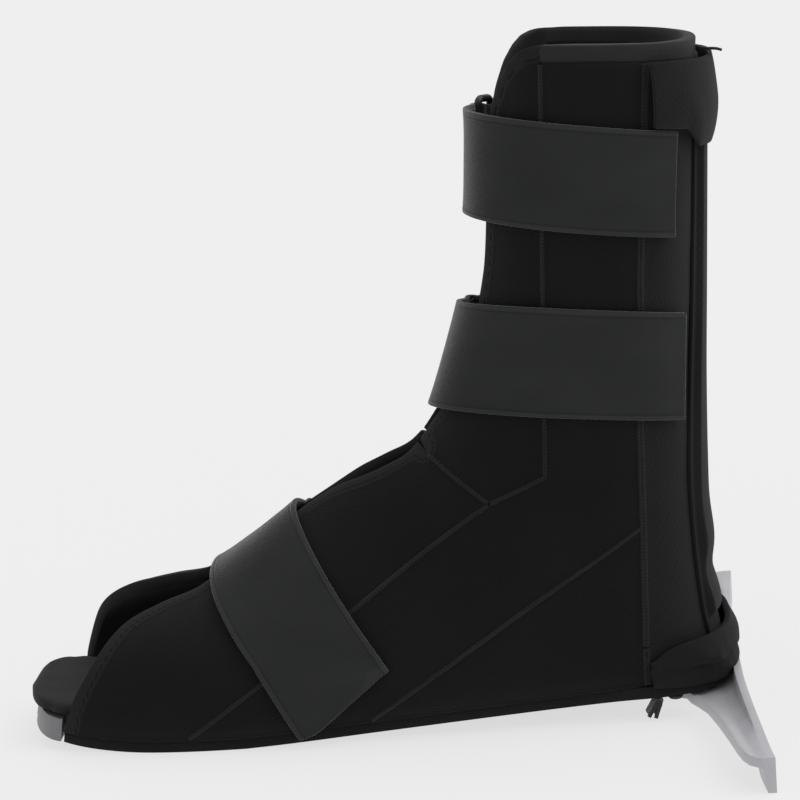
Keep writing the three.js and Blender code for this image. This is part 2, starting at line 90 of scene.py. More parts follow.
floor_mesh = bpy.data.meshes.new("floor")
bm = bmesh.new()
bmesh.ops.create_grid(bm, x_segments=1, y_segments=1, size=FLOOR_HALF)
bmesh.ops.translate(bm, vec=(0, 0, -FLOOR_DROP), verts=bm.verts)
bm.to_mesh(floor_mesh)
bm.free()
floor = bpy.data.objects.new("floor", floor_mesh)
scene.collection.objects.link(floor)

CAMERA_AT = Vector((85, -1090, 343)) * MM
CAMERA_YAW, CAMERA_PITCH, CAMERA_ROLL = (math.radians(a) for a in (3.85, 11.3, 4.2))
CAMERA_LENS = 127.2
CAMERA_SENSOR = 36
ahead = Vector((
    -math.sin(CAMERA_YAW) * math.cos(CAMERA_PITCH),
    math.cos(CAMERA_YAW) * math.cos(CAMERA_PITCH),
    -math.sin(CAMERA_PITCH),
))
level = Vector((math.cos(CAMERA_YAW), math.sin(CAMERA_YAW), 0))
upright = level.cross(ahead)
right = level * math.cos(CAMERA_ROLL) - upright * math.sin(CAMERA_ROLL)
up = level * math.sin(CAMERA_ROLL) + upright * math.cos(CAMERA_ROLL)
camera = bpy.data.objects.new("camera", bpy.data.cameras.new("camera"))
camera.data.lens = CAMERA_LENS
camera.data.sensor_width = CAMERA_SENSOR
camera.data.clip_start = 0.05
camera.data.clip_end = 200
turn = Matrix((right, up, -ahead)).transposed().to_4x4()
camera.matrix_world = Matrix.Translation(CAMERA_AT) @ turn
scene.collection.objects.link(camera)
scene.camera = camera
print("camera at", [round(v, 3) for v in CAMERA_AT])

# %% [markdown]
# ## Shader maths as plain Python
# A cloth or plastic is a sum of a few patterns. A small class wraps a socket, so a pattern
# can be written as an expression, and one method makes every other kind of node.

# %% Sockets that can be added and multiplied
class Value:
    """The number, colour or vector that a socket carries."""

    def __init__(self, look, socket):
        self.look = look
        self.socket = socket

    def maths(self, operation, other=None, swapped=False):
        pair = [self] if other is None else [self, other]
        if swapped:
            pair.reverse()
        return self.look.node("ShaderNodeMath", {"operation": operation}, dict(enumerate(pair)))

    def __add__(self, other):
        return self.maths("ADD", other)

    def __radd__(self, other):
        return self.maths("ADD", other)

    def __sub__(self, other):
        return self.maths("SUBTRACT", other)

    def __rsub__(self, other):
        return self.maths("SUBTRACT", other, swapped=True)

    def __mul__(self, other):
        return self.maths("MULTIPLY", other)

    def __rmul__(self, other):
        return self.maths("MULTIPLY", other)

    def __abs__(self):
        return self.maths("ABSOLUTE")

    def wave(self, pitch):
        """A sine from -1 to 1 that repeats every pitch."""
        return (self * (2 * math.pi / pitch)).maths("SINE")

    def ramp(self, start, end):
        """0 at start, 1 at end, and held beyond them."""
        sockets = {"Value": self, "From Min": start, "From Max": end}
        return self.look.node("ShaderNodeMapRange", {"clamp": True}, sockets)


class Look:
    """A material, with the nodes that its patterns need."""

    def __init__(self, name, specular, sheen=0.0, sheen_roughness=0.5):
        self.material = bpy.data.materials.new(name)
        self.material.use_nodes = True
        self.tree = self.material.node_tree
        self.shader = self.tree.nodes["Principled BSDF"]
        self.shader.inputs["Specular IOR Level"].default_value = specular
        self.shader.inputs["Sheen Weight"].default_value = sheen
        self.shader.inputs["Sheen Roughness"].default_value = sheen_roughness

    def node(self, kind, settings=None, sockets=None, output=0):
        made = self.tree.nodes.new(kind)
        for key, value in (settings or {}).items():
            setattr(made, key, value)
        for key, value in (sockets or {}).items():
            if isinstance(value, Value):
                self.tree.links.new(value.socket, made.inputs[key])
            else:
                made.inputs[key].default_value = value
        return Value(self, made.outputs[output])

    def spot(self):
        """Place on the object, in millimetres."""
        here = self.node("ShaderNodeTexCoord", output="Object")
        return self.node("ShaderNodeVectorMath", {"operation": "SCALE"}, {0: here, "Scale": 1 / MM})

    def along_across(self):
        """The piece's own UV map: millimetres along it and across it."""
        uv = self.node("ShaderNodeTexCoord", output="UV")
        parts = self.node("ShaderNodeSeparateXYZ", sockets={0: uv})
        return parts, Value(self, parts.socket.node.outputs["Y"])

    def near_edge(self, name):
        """Distance from an edge, in millimetres, that the mesh carries."""
        return self.node("ShaderNodeAttribute", {"attribute_name": name}, output="Fac")

    def noise(self, spot, grain, detail=2):
        """Soft noise from 0 to 1, with lumps of about grain millimetres."""
        sockets = {"Vector": spot, "Scale": 1 / grain, "Detail": detail}
        return self.node("ShaderNodeTexNoise", sockets=sockets)

    def loops(self, spot, size):
        """Round dots of about size millimetres: 0 in their middle, 1 between them."""
        sockets = {"Vector": spot, "Scale": 1 / size, "Randomness": 0.85}
        return self.node("ShaderNodeTexVoronoi", sockets=sockets, output="Distance")

    def stretched(self, spot, sizes):
        """Places scaled apart, so that a noise on them runs in streaks."""
        scale = tuple(1 / s for s in sizes)
        return self.node("ShaderNodeVectorMath", {"operation": "MULTIPLY"}, {0: spot, 1: scale})

    def mix(self, share, dark, light):
        sockets = {0: share, 6: (*dark, 1), 7: (*light, 1)}
        return self.node("ShaderNodeMix", {"data_type": "RGBA"}, sockets, 2)

    def finish(self, colour, roughness, height, depth, strength=0.7):
        """Connects the patterns; depth is the bump's height in millimetres."""
        sockets = {"Height": height, "Distance": depth * MM, "Strength": strength}
        bump = self.node("ShaderNodeBump", sockets=sockets)
        for name, value in (("Base Color", colour), ("Roughness", roughness), ("Normal", bump)):
            self.tree.links.new(value.socket, self.shader.inputs[name])
        return self.material


floor_look = Look("pale_floor", specular=0.0)
floor_look.shader.inputs["Emission Color"].default_value = (1, 1, 1, 1)
floor_look.shader.inputs["Emission Strength"].default_value = FLOOR_GLOW
floor_spot = floor_look.spot()
floor_grain = floor_look.noise(floor_spot, 900)
floor.data.materials.append(floor_look.finish(
    floor_look.mix(floor_grain, FLOOR_DARK, FLOOR_LIGHT),
    floor_grain * 0.05 + 0.9, floor_grain, 0.05,
))
print("floor ready")

# %% [markdown]
# ## The finishes
# The panels are a black loop pile on foam, which hooks can grip. It is almost black and has
# no shine: thousands of tiny loops make it soft at its edges, and it catches a little lint.
# A band along every free edge is folded over and sewn down, and looks a bit lighter.

# %% Black loop pile
HEM_WIDTH = 6.2
HEM_STITCH_IN = 4.6
STITCH_PITCH = 3.2


def black_pile(name, dark, light):
    look = Look(name, specular=0.10, sheen=0.035, sheen_roughness=0.6)
    spot = look.spot()
    loops = look.loops(spot, 0.85)
    fuzz = look.noise(spot, 0.55, 3)
    drift = look.noise(spot, 38)
    lint = look.noise(look.stretched(spot, (2.6, 0.7, 1.4)), 1).ramp(0.72, 0.80)
    _, across = look.along_across()
    edge = look.near_edge("hem")
    hem = 1 - edge.ramp(HEM_WIDTH - 0.8, HEM_WIDTH)
    dash = across.wave(STITCH_PITCH).ramp(-0.35, 0.1)
    stitch = (1 - abs(edge - HEM_STITCH_IN).ramp(0.35, 0.8)) * dash
    tone = fuzz * 0.45 + drift * 0.35 + hem * (0.5 + 0.4 * fuzz) * (1 - stitch) + lint * 0.25
    height = fuzz * 0.6 - loops * 0.7 - stitch * 1.6 + hem * 0.3
    return look.finish(look.mix(tone, dark, light), 0.97 - 0.07 * fuzz, height, 0.45)


PILE = black_pile("black_loop_pile", (0.0029, 0.0029, 0.0030), (0.0135, 0.0136, 0.0140))
# A lighter copy of the same pile for the heel band and the cloth sole: the extra lightness is painted light.
BAND_PILE = black_pile("lit_loop_pile", (0.0050, 0.0050, 0.0052), (0.0205, 0.0207, 0.0213))
print("finish:", PILE.name, BAND_PILE.name)

# %% [markdown]
# The back of the boot is a ribbed knit: short upright ribs, each row shifted by half a rib.
# The ribs follow the piece's own UV map, so they stay upright round the back.

# %% Ribbed knit
RIB_PITCH = 1.5
RIB_LENGTH = 3.6


def ribbed_knit():
    look = Look("ribbed_knit", specular=0.10, sheen=0.05, sheen_roughness=0.6)
    spot = look.spot()
    along, across = look.along_across()
    rib = along.wave(RIB_PITCH)
    shift = along.wave(RIB_PITCH * 2).maths("SIGN") * (RIB_LENGTH / 4)
    dash = (across + shift).wave(RIB_LENGTH).ramp(-0.5, 0.4)
    fuzz = look.noise(spot, 0.6, 3)
    drift = look.noise(spot, 30)
    rise = rib.ramp(-0.4, 0.9) * dash
    tone = rise * 0.14 + fuzz * 0.42 + drift * 0.4
    height = rise * 0.4 + fuzz * 0.6
    colour = look.mix(tone, (0.0045, 0.0045, 0.0047), (0.0185, 0.0187, 0.0195))
    return look.finish(colour, 0.96 - 0.08 * fuzz, height, 0.3)


KNIT = ribbed_knit()
print("finish:", KNIT.name)

# %% [markdown]
# The straps are woven tape with a loop face: a fine plain weave, a smooth narrow selvedge
# along both sides, and rows of stitching where a tape is sewn down. The weave reads the UV
# map in millimetres, so it runs straight along each strap.

# %% Woven tape
WEAVE_ALONG = 1.3
WEAVE_ACROSS = 1.1
SELVEDGE = 1.5
TAPE_WIDTH = 40
END_BORDER = 1.3
BOX_IN, BOX_LENGTH = 3.5, 20


def woven_tape(name, dark, light, sewn):
    look = Look(name, specular=0.2, sheen=0.6, sheen_roughness=0.25)
    spot = look.spot()
    along, across = look.along_across()
    weave = along.wave(WEAVE_ALONG) * across.wave(WEAVE_ACROSS)
    fuzz = look.noise(spot, 0.5, 3)
    drift = look.noise(look.stretched(spot, (40, 40, 14)), 1, 3)
    middle = abs(across - TAPE_WIDTH / 2)
    side = middle.ramp(TAPE_WIDTH / 2 - SELVEDGE - 0.3, TAPE_WIDTH / 2 - SELVEDGE)
    groove = 1 - abs(middle - (TAPE_WIDTH / 2 - SELVEDGE - 0.6)).ramp(0.1, 0.5)
    end = 1 - along.ramp(END_BORDER - 0.3, END_BORDER)
    # The groove beside each selvedge is also drawn darker in the tone: painted shade in the groove.
    tone = weave * 0.06 + fuzz * 0.35 + drift * 0.45 + side * 0.22 + end * 0.2 - groove * 0.2
    height = weave * 0.3 + fuzz * 0.5 + side * 0.6 + end * 0.4 - groove * 0.8
    if sewn:
        stitch = box_stitch(along, middle)
        tone = tone + stitch * 0.45
        height = height + stitch * 1.2
    return look.finish(look.mix(tone, dark, light), 0.85 - 0.1 * side, height, 0.3)


def box_stitch(along, middle):
    """Rows of stitches round a rectangle at a tape's sewn end."""
    half_along, half_across = BOX_LENGTH / 2, TAPE_WIDTH / 2 - BOX_IN
    out_along = abs(along - BOX_IN - half_along) - half_along
    out_across = middle - half_across
    outside = out_along.maths("MAXIMUM", out_across)
    row = 1 - abs(outside).ramp(0.25, 0.5)
    return row * (along + middle).wave(STITCH_PITCH).ramp(-0.5, 0.0)


TAPE_DARK, TAPE_LIGHT = (0.0112, 0.0116, 0.0122), (0.0340, 0.0352, 0.0368)
TAPE = woven_tape("woven_tape", TAPE_DARK, TAPE_LIGHT, False)
SEWN_TAPE = woven_tape("sewn_tape", TAPE_DARK, TAPE_LIGHT, True)
print("finish:", TAPE.name, SEWN_TAPE.name)

# %% [markdown]
# The rim is bound in a smooth dark grey jersey, and the same brushed jersey lines the boot
# and covers the footbed: fine ribs, with a soft nap.

# %% Brushed jersey for the binding, the lining and the footbed
def brushed_jersey(name, dark, light, rib):
    look = Look(name, specular=0.15, sheen=0.08)
    spot = look.spot()
    nap = look.noise(look.stretched(spot, (1.6, 0.5, 0.5)), 1, 3)
    fuzz = look.noise(spot, 0.6, 3)
    drift = look.noise(spot, 26)
    along, _ = look.along_across()
    ribs = along.wave(rib)
    tone = nap * 0.35 + drift * 0.45 + ribs * 0.03 + fuzz * 0.15
    height = ribs * 0.12 + nap * 0.5 + fuzz * 0.4
    return look.finish(look.mix(tone, dark, light), 0.94 - 0.1 * nap, height, 0.25)


BINDING = brushed_jersey("rim_binding", (0.0100, 0.0102, 0.0108), (0.0330, 0.0335, 0.0350), 1.6)
LINING = brushed_jersey("brushed_lining", (0.0065, 0.0065, 0.0068), (0.0190, 0.0190, 0.0200), 1.4)
FOOT_CLOTH = brushed_jersey("footbed_cloth", (0.0085, 0.0085, 0.0088), (0.0260, 0.0260, 0.0275), 1.5)
print("finish:", BINDING.name, LINING.name, FOOT_CLOTH.name)

# %% [markdown]
# The sole plate and the bar are moulded in light grey plastic with a very fine grain, a few
# faint scuffs and a soft sheen. The plate and its toe lip take a darker copy of the same grey,
# which is painted shade. The rings and rivets are the same kind of plastic in black.
# The seams are sewn flat and covered by a slim raised welt with stitches across it.

# %% Moulded plastic and seam welts
WELT_STITCH = 1.4


def moulded(name, dark, light, roughness, scuffs):
    look = Look(name, specular=0.45)
    spot = look.spot()
    grain = look.noise(spot, 0.5, 2)
    cloud = look.noise(spot, 22, 3)
    scuff = look.noise(look.stretched(spot, (14, 1.2, 2.4)), 1, 3).ramp(0.60, 0.78) * scuffs
    tone = cloud * 0.75 + grain * 0.2 + scuff * 0.4
    rough = roughness + 0.10 * cloud + scuff * 0.15
    height = grain * 0.6 - scuff * 0.6 + cloud * 0.2
    return look.finish(look.mix(tone, dark, light), rough, height, 0.08, 0.5)


def seam_welt():
    look = Look("seam_welt", specular=0.15, sheen=0.05)
    spot = look.spot()
    along, _ = look.along_across()
    stitch = along.wave(WELT_STITCH)
    fuzz = look.noise(spot, 0.5, 3)
    drift = look.noise(spot, 15)
    tone = stitch * 0.12 + fuzz * 0.35 + drift * 0.45
    colour = look.mix(tone, (0.0075, 0.0076, 0.0080), (0.0260, 0.0263, 0.0275))
    return look.finish(colour, 0.92 - 0.08 * fuzz, stitch * 0.6 + fuzz * 0.4, 0.25)


GREY_PLASTIC = moulded("moulded_grey", (0.37, 0.365, 0.395), (0.56, 0.555, 0.58), 0.36, 1.0)
# The plate's grey is the bar's plastic made darker: painted shade on the plate and the toe lip.
SHADED_PLATE_PLASTIC = moulded("plate_grey_painted_shade", (0.15, 0.148, 0.158), (0.24, 0.237, 0.25), 0.42, 1.0)
BLACK_PLASTIC = moulded("moulded_black", (0.004, 0.004, 0.0045), (0.012, 0.012, 0.013), 0.34, 0.4)
WELT = seam_welt()
print("finish:", GREY_PLASTIC.name, SHADED_PLATE_PLASTIC.name, BLACK_PLASTIC.name, WELT.name)

# %% [markdown]
# ## The form of the boot
# A shoemaker starts from a last, the solid form that the upper is pulled over. This last is
# a stack of sections that run from the front of the shaft to its back and, lower down, from
# the instep to the sole. Between two rows the values follow a smooth curve. All modelling
# is in millimetres, and each finished mesh is scaled to metres.

# %% Sections of the last
Section = namedtuple(
    "Section",
    "front_x front_z back_x back_z half_width belly front_power back_power flap_near flap_far",
)
SECTIONS = [Section(*row) for row in (
    (50.5, 272.0, 134.5, 264.0, 50.5, 0.50, 2.1, 2.6, 37, 37),
    (46.2, 219.0, 131.6, 209.0, 49.0, 0.50, 2.1, 2.6, 34, 34),
    (42.6, 176.0, 129.3, 166.0, 47.0, 0.50, 2.1, 2.6, 31, 31),
    (33.6, 138.0, 127.3, 128.0, 44.5, 0.52, 2.1, 2.6, 24, 24),
    (22.6, 117.0, 126.3, 92.0, 42.5, 0.54, 2.0, 2.6, 13, 14),
    (12.0, 107.0, 127.0, 62.0, 42.0, 0.56, 2.0, 2.7, 16, 18),
    (2.0, 102.5, 129.0, 38.0, 41.5, 0.58, 2.0, 2.8, 16, 15),
    (-7.0, 98.5, 131.0, 20.0, 41.5, 0.60, 2.0, 3.0, 14, 13),
    (-16.0, 94.0, 123.0, 6.0, 42.0, 0.60, 2.0, 3.4, 10, 15),
    (-26.0, 88.0, 95.0, 4.4, 43.0, 0.60, 2.0, 4.0, 8, 16),
    (-38.0, 79.5, 50.0, 1.4, 45.5, 0.60, 2.1, 4.0, 8, 16),
    (-52.0, 69.5, 3.0, -1.2, 48.5, 0.60, 2.2, 4.0, 9, 14),
    (-70.0, 58.5, -37.0, -3.2, 51.0, 0.60, 2.3, 4.0, 12, 10),
    (-87.0, 55.4, -70.0, -4.4, 51.0, 0.60, 2.4, 4.0, 21, 9),
    (-104.0, 52.2, -97.0, -4.2, 48.0, 0.60, 2.4, 4.0, 38, 14),
    (-120.0, 46.0, -118.0, -2.8, 42.5, 0.58, 2.4, 3.8, 78, 42),
    (-132.0, 38.5, -131.0, -1.2, 34.5, 0.57, 2.4, 3.6, 114, 100),
    (-140.0, 34.5, -139.5, 0.6, 25.5, 0.56, 2.4, 3.4, 134, 122),
    (-144.6, 31.0, -144.6, 2.4, 12.0, 0.55, 2.4, 3.0, 150, 130),
)]
LAST_ROW = len(SECTIONS) - 1


@lru_cache(maxsize=None)
def section_at(s):
    """The row of the table at s, on a smooth curve between the rows."""
    i = min(int(s), LAST_ROW - 1)
    t = s - i
    rows = (SECTIONS[min(max(k, 0), LAST_ROW)] for k in range(i - 1, i + 3))
    return Section(*(
        (2 * b + (c - a) * t + (2 * a - 5 * b + 4 * c - d) * t**2 + (3 * b - a - 3 * c + d) * t**3) / 2
        for a, b, c, d in zip(*rows)
    ))


def last_point(s, angle, lift=0.0):
    """Point at section s; the angle is 0 at the front and a quarter turn on the near side."""
    row = section_at(s)
    axis = Vector((row.back_x - row.front_x, row.back_z - row.front_z))
    length = axis.length
    axis.normalize()
    cos, sin = math.cos(angle), math.sin(angle)
    share, power = (row.belly, row.front_power) if cos > 0 else (1 - row.belly, row.back_power)
    reach = math.copysign(abs(cos) ** (2 / power), cos) * (length * share + lift)
    across = math.copysign(abs(sin) ** (2 / power), sin) * (row.half_width + lift)
    along = length * row.belly - reach
    return Vector((row.front_x + axis.x * along, -across, row.front_z + axis.y * along))


def back_share(angle):
    """0 at the sides of the boot and 1 at the middle of its back."""
    return max(0.0, -math.cos(angle))


for row_name, row_number in (("top", 0), ("toe", LAST_ROW)):
    print("last:", row_name, [round(v) for v in last_point(row_number, 0)])

# %% [markdown]
# The sole is flat under its ball, curls up at the toe end and climbs gently to the heel.
# Every sole piece and every lower edge of the cloth follows this one line.

# %% Line of the sole
SOLE_FLAT_FROM, SOLE_FLAT_TO = -90, -55
SOLE_RISE = math.tan(math.radians(3.3))
TOE_END, TOE_SPRING = -144, 6.5
COVER_THICKNESS, SEAT_GAP = 4.5, 0.3
COVER_FRONT = -129


def sole_height(x):
    """Height of the sole's underside."""
    if x < SOLE_FLAT_FROM:
        return TOE_SPRING * ((SOLE_FLAT_FROM - x) / (SOLE_FLAT_FROM - TOE_END)) ** 2
    return max(0.0, x - SOLE_FLAT_TO) * SOLE_RISE


def line_at(points, at):
    """Height of a line through points at one place, held level beyond its ends."""
    points = sorted(points)
    for (x0, z0), (x1, z1) in zip(points, points[1:]):
        if at <= x1:
            return z0 + (z1 - z0) * min(max((at - x0) / (x1 - x0), 0.0), 1.0)
    return points[-1][1]


def crossing(f, low, high, steps=24):
    """Where f changes sign between low and high, found by halving."""
    rising = f(low) < 0
    for _ in range(steps):
        middle = (low + high) / 2
        if (f(middle) < 0) == rising:
            low = middle
        else:
            high = middle
    return (low + high) / 2


print("sole under the heel:", round(sole_height(110), 1), "mm up")

# %% [markdown]
# ## From a grid to a finished piece
# Most pieces start as a flat grid that is laid over the last. The grid keeps its UV map, in
# millimetres, so knit and weave follow the cloth. A finished cloth piece gets its thickness
# from Solidify and its soft edge from one Subdivision Surface. The rings and the bar are
# lofted instead: a section is set out at each station, and neighbours are bridged.

# %% Laying a grid, and finishing a piece
def laid_grid(columns, rows, place, size):
    """A grid whose point u, v is placed by place(u, v); size is its length and width in mm.

    The UV map counts millimetres back from the end where u is 1.
    """
    bm = bmesh.new()
    sheet_map = bm.loops.layers.uv.new("UVMap")
    bmesh.ops.create_grid(bm, x_segments=columns, y_segments=rows, size=0.5, calc_uvs=True)
    for vert in bm.verts:
        vert.co = place(vert.co.x + 0.5, vert.co.y + 0.5)
    for face in bm.faces:
        for loop in face.loops:
            u, v = loop[sheet_map].uv
            loop[sheet_map].uv = ((1 - u) * size[0], v * size[1])
    bm.normal_update()
    return bm


def face_outwards(bm, outwards):
    """Turns the faces round if they look against outwards(place)."""
    votes = sum(f.normal.dot(outwards(f.calc_center_median())) * f.calc_area() for f in bm.faces)
    if votes < 0:
        bmesh.ops.reverse_faces(bm, faces=bm.faces)
    bm.normal_update()


def lofted(rings, closed):
    """Bridges rings of points, each made from a circle; open ends are filled."""
    bm = bmesh.new()
    loops = []
    for ring in rings:
        verts = bmesh.ops.create_circle(bm, segments=len(ring), radius=1)["verts"]
        for vert, spot in zip(verts, ring):
            vert.co = spot
        loops.append(list({e for v in verts for e in v.link_edges}))
    pairs = list(zip(loops, loops[1:])) + ([(loops[-1], loops[0])] if closed else [])
    for first, second in pairs:
        bmesh.ops.bridge_loops(bm, edges=first + second)
    bmesh.ops.holes_fill(bm, edges=[e for e in bm.edges if e.is_boundary], sides=0)
    bmesh.ops.recalc_face_normals(bm, faces=bm.faces)
    return bm


def piece(name, bm, materials, nodes):
    """Makes the object in metres, hangs it on the root body and hides the solids that it stands for."""
    bmesh.ops.scale(bm, vec=(MM, MM, MM), verts=bm.verts)
    for face in bm.faces:
        face.smooth = True
    mesh = bpy.data.meshes.new("fine_" + name)
    bm.to_mesh(mesh)
    bm.free()
    for material in materials:
        mesh.materials.append(material)
    made = bpy.data.objects.new("fine_" + name, mesh)
    scene.collection.objects.link(made)
    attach(made, "root")
    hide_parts(*nodes)
    return made


EDGE_CREASE = 0.75


def thicken(made, thickness, rounds=1, inner_slot=0):
    """Gives a sheet its thickness, inwards, and rounds its edges."""
    solid = made.modifiers.new("thickness", "SOLIDIFY")
    solid.thickness = thickness * MM
    solid.offset = -1
    solid.material_offset = inner_slot
    solid.edge_crease_outer = solid.edge_crease_inner = EDGE_CREASE
    if rounds:
        soft = made.modifiers.new("softness", "SUBSURF")
        soft.levels = soft.render_levels = rounds
    return made


def crisp(made, width, segments=2):
    """Rounds the hard edges of a piece by a small width."""
    edge = made.modifiers.new("edges", "BEVEL")
    edge.width = width * MM
    edge.segments = segments
    edge.limit_method = "ANGLE"
    edge.angle_limit = math.radians(40)
    edge.use_clamp_overlap = True
    return made


print("helpers ready")

# %% [markdown]
# ## The padded shell
# On the real boot the panels are cut flat, sewn edge to edge and shaped over a last. Here
# the whole shell is laid over the last once, from the near front edge round the back to the
# far front edge, and each panel is cut out of a copy along its seams, so neighbours always
# meet. The seams are straight in the side view, which makes each cut a plane.

# %% The shell over the last
SHELL_END = 16.2
SHELL_ROWS, SHELL_COLUMNS = 132, 104
SHELL_ROUND, SHELL_LENGTH = 300, 430
ANKLE_Z, SHAFT_X = 95, 88
FOREFOOT_Z, HEEL_X = 40, 100


def shell_place(u, v):
    s = v * SHELL_END
    row = section_at(s)
    near, far = math.radians(row.flap_near), 2 * math.pi - math.radians(row.flap_far)
    angle = near + (math.pi - near) * 2 * u if u < 0.5 else math.pi + (far - math.pi) * (2 * u - 1)
    return last_point(s, angle)


def away_from_middle(place):
    """Outwards from the middle of the shaft, or of the boot below it."""
    if place.z > ANKLE_Z:
        return Vector((place.x - SHAFT_X, place.y, 0))
    return Vector((max(0.0, place.x - HEEL_X), place.y, place.z - FOREFOOT_Z))


shell = laid_grid(SHELL_COLUMNS, SHELL_ROWS, shell_place, (SHELL_ROUND, SHELL_LENGTH))
face_outwards(shell, away_from_middle)
print("shell faces:", len(shell.faces))

# %% [markdown]
# A cutter follows a pattern line with a blade. Here a plane that stands on the line cuts the
# faces that it meets, and the new edge is drawn onto the plane, so that it is straight. The
# shell is first cut along the sole, and the far side is notched to clear the toe lip.

# %% Cutting along lines of the side view
CUT_SNAP, TINY_EDGE = 0.35, 0.15
REACH = 200
UNDER_SOLE, OVER_TOE, BEHIND_HEEL = -10, 60, 160
TOE_STOPS = 9


def side_cut(bm, a, b):
    """Cuts the faces that the side-view line from a to b crosses, and evens the new edge."""
    low = [min(p) - 1 for p in zip(a, b)]
    high = [max(p) + 1 for p in zip(a, b)]

    def touches(face):
        xs = [v.co.x for v in face.verts]
        zs = [v.co.z for v in face.verts]
        return max(xs) > low[0] and min(xs) < high[0] and max(zs) > low[1] and min(zs) < high[1]

    faces = [f for f in bm.faces if touches(f)]
    geom = faces + list({e for f in faces for e in f.edges}) + list({v for f in faces for v in f.verts})
    normal = Vector((b[1] - a[1], 0, a[0] - b[0])).normalized()
    middle = Vector((a[0], 0, a[1]))
    made = bmesh.ops.bisect_plane(bm, geom=geom, dist=CUT_SNAP, plane_co=middle, plane_no=normal)
    for vert in made["geom_cut"]:
        if isinstance(vert, bmesh.types.BMVert):
            vert.co -= normal * (vert.co - middle).dot(normal)


def inside(outline, x, z):
    """Whether a side-view point lies inside an outline."""
    found = False
    for (x0, z0), (x1, z1) in zip(outline, outline[1:] + outline[:1]):
        if (z0 > z) != (z1 > z) and x < x0 + (x1 - x0) * (z - z0) / (z1 - z0):
            found = not found
    return found


def cut_out(bm, keep):
    """Deletes the faces whose middle keep(place) refuses, and what is left loose."""
    gone = [f for f in bm.faces if not keep(f.calc_center_median())]
    bmesh.ops.delete(bm, geom=gone, context="FACES")
    bmesh.ops.dissolve_degenerate(bm, dist=TINY_EDGE, edges=bm.edges)


sole_stops = [TOE_END + (SOLE_FLAT_FROM - TOE_END) * k / TOE_STOPS for k in range(TOE_STOPS)]
sole_stops += [SOLE_FLAT_FROM, SOLE_FLAT_TO, BEHIND_HEEL]
cloth_foot = COVER_THICKNESS + SEAT_GAP
for x0, x1 in zip(sole_stops, sole_stops[1:]):
    side_cut(shell, (x0, sole_height(x0) + cloth_foot), (x1, sole_height(x1) + cloth_foot))
side_cut(shell, (COVER_FRONT, UNDER_SOLE), (COVER_FRONT, OVER_TOE))
cut_out(shell, lambda p: p.z > sole_height(p.x) + cloth_foot and p.x > COVER_FRONT)
LIP_NOTCH_BACK, LIP_NOTCH_TOP = -126.8, 10.0
side_cut(shell, (LIP_NOTCH_BACK, -5), (LIP_NOTCH_BACK, LIP_NOTCH_TOP))
side_cut(shell, (TOE_END, LIP_NOTCH_TOP), (LIP_NOTCH_BACK, LIP_NOTCH_TOP))
cut_out(shell, lambda p: p.y < 0 or p.x > LIP_NOTCH_BACK or p.z > LIP_NOTCH_TOP)
print("shell above the sole:", len(shell.faces))

# %% [markdown]
# Foam under cloth swells between its seams and is pulled in along them, so a panel is never
# flat. Each panel is crowned a little away from its edges and dips to the seam; a free edge
# is thicker, because the cloth is folded there. The mesh also carries how far each point is
# from a free edge, for the finish to draw the sewn hem.

# %% Padding a panel
SEAM = {
    "trim_front": (75.6, 263.3), "flap_top": (75.3, 256.8), "flap_foot": (67.4, 99.6),
    "fork": (45.4, 89.4), "throat": (22.2, 106.8), "throat_reach": (-20, 138.4),
    "vamp_foot": (-92.4, -5), "heel_foot": (-26.9, -5), "heel_top": (103.5, 77.7),
    "rear_foot": (102, -5), "rear_low": (102, 30), "rear_ankle": (104.4, 115.4),
    "rear_calf": (107.5, 175.3), "rear_top": (113.9, 254.6),
    "panel_top": (160, 251.8), "trim_top": (160, 258.4),
}
SEWN_LINES = [(SEAM[a], SEAM[b]) for a, b in (
    ("trim_front", "flap_top"), ("flap_top", "flap_foot"), ("flap_foot", "fork"),
    ("fork", "throat"), ("fork", "vamp_foot"), ("heel_foot", "heel_top"),
    ("rear_foot", "rear_low"), ("rear_low", "heel_top"), ("heel_top", "rear_ankle"),
    ("rear_ankle", "rear_calf"), ("rear_calf", "rear_top"), ("flap_top", "rear_top"),
    ("rear_top", "panel_top"),
)]
PAD_CROWN, PAD_DIP, PAD_REACH, SEAM_REACH = 0.4, 0.5, 9.0, 1.8
HEM_STEP, HEM_FADE = 0.45, 1.5
WRINKLE, WRINKLE_SIZE, WRINKLE_FADE = 0.25, 17, 10
SEWN_WITHIN = 0.8
FAR_FROM_EDGE = 60.0


def is_sewn(place):
    """Whether an edge point lies on a seam or on the sole."""
    if abs(place.z - sole_height(place.x) - cloth_foot) < SEWN_WITHIN:
        return True
    here = Vector((place.x, place.z))
    for a, b in SEWN_LINES:
        start, run = Vector(a), Vector(b) - Vector(a)
        share = min(max((here - start).dot(run) / run.length_squared, 0), 1)
        if (here - start - run * share).length < SEWN_WITHIN:
            return True
    return False


def nearest(places):
    """A finder of the distance to the nearest of some places."""
    tree = kdtree.KDTree(max(len(places), 1))
    for i, place in enumerate(places):
        tree.insert(place, i)
    tree.balance()
    return lambda p: tree.find(p)[2] if places else FAR_FROM_EDGE


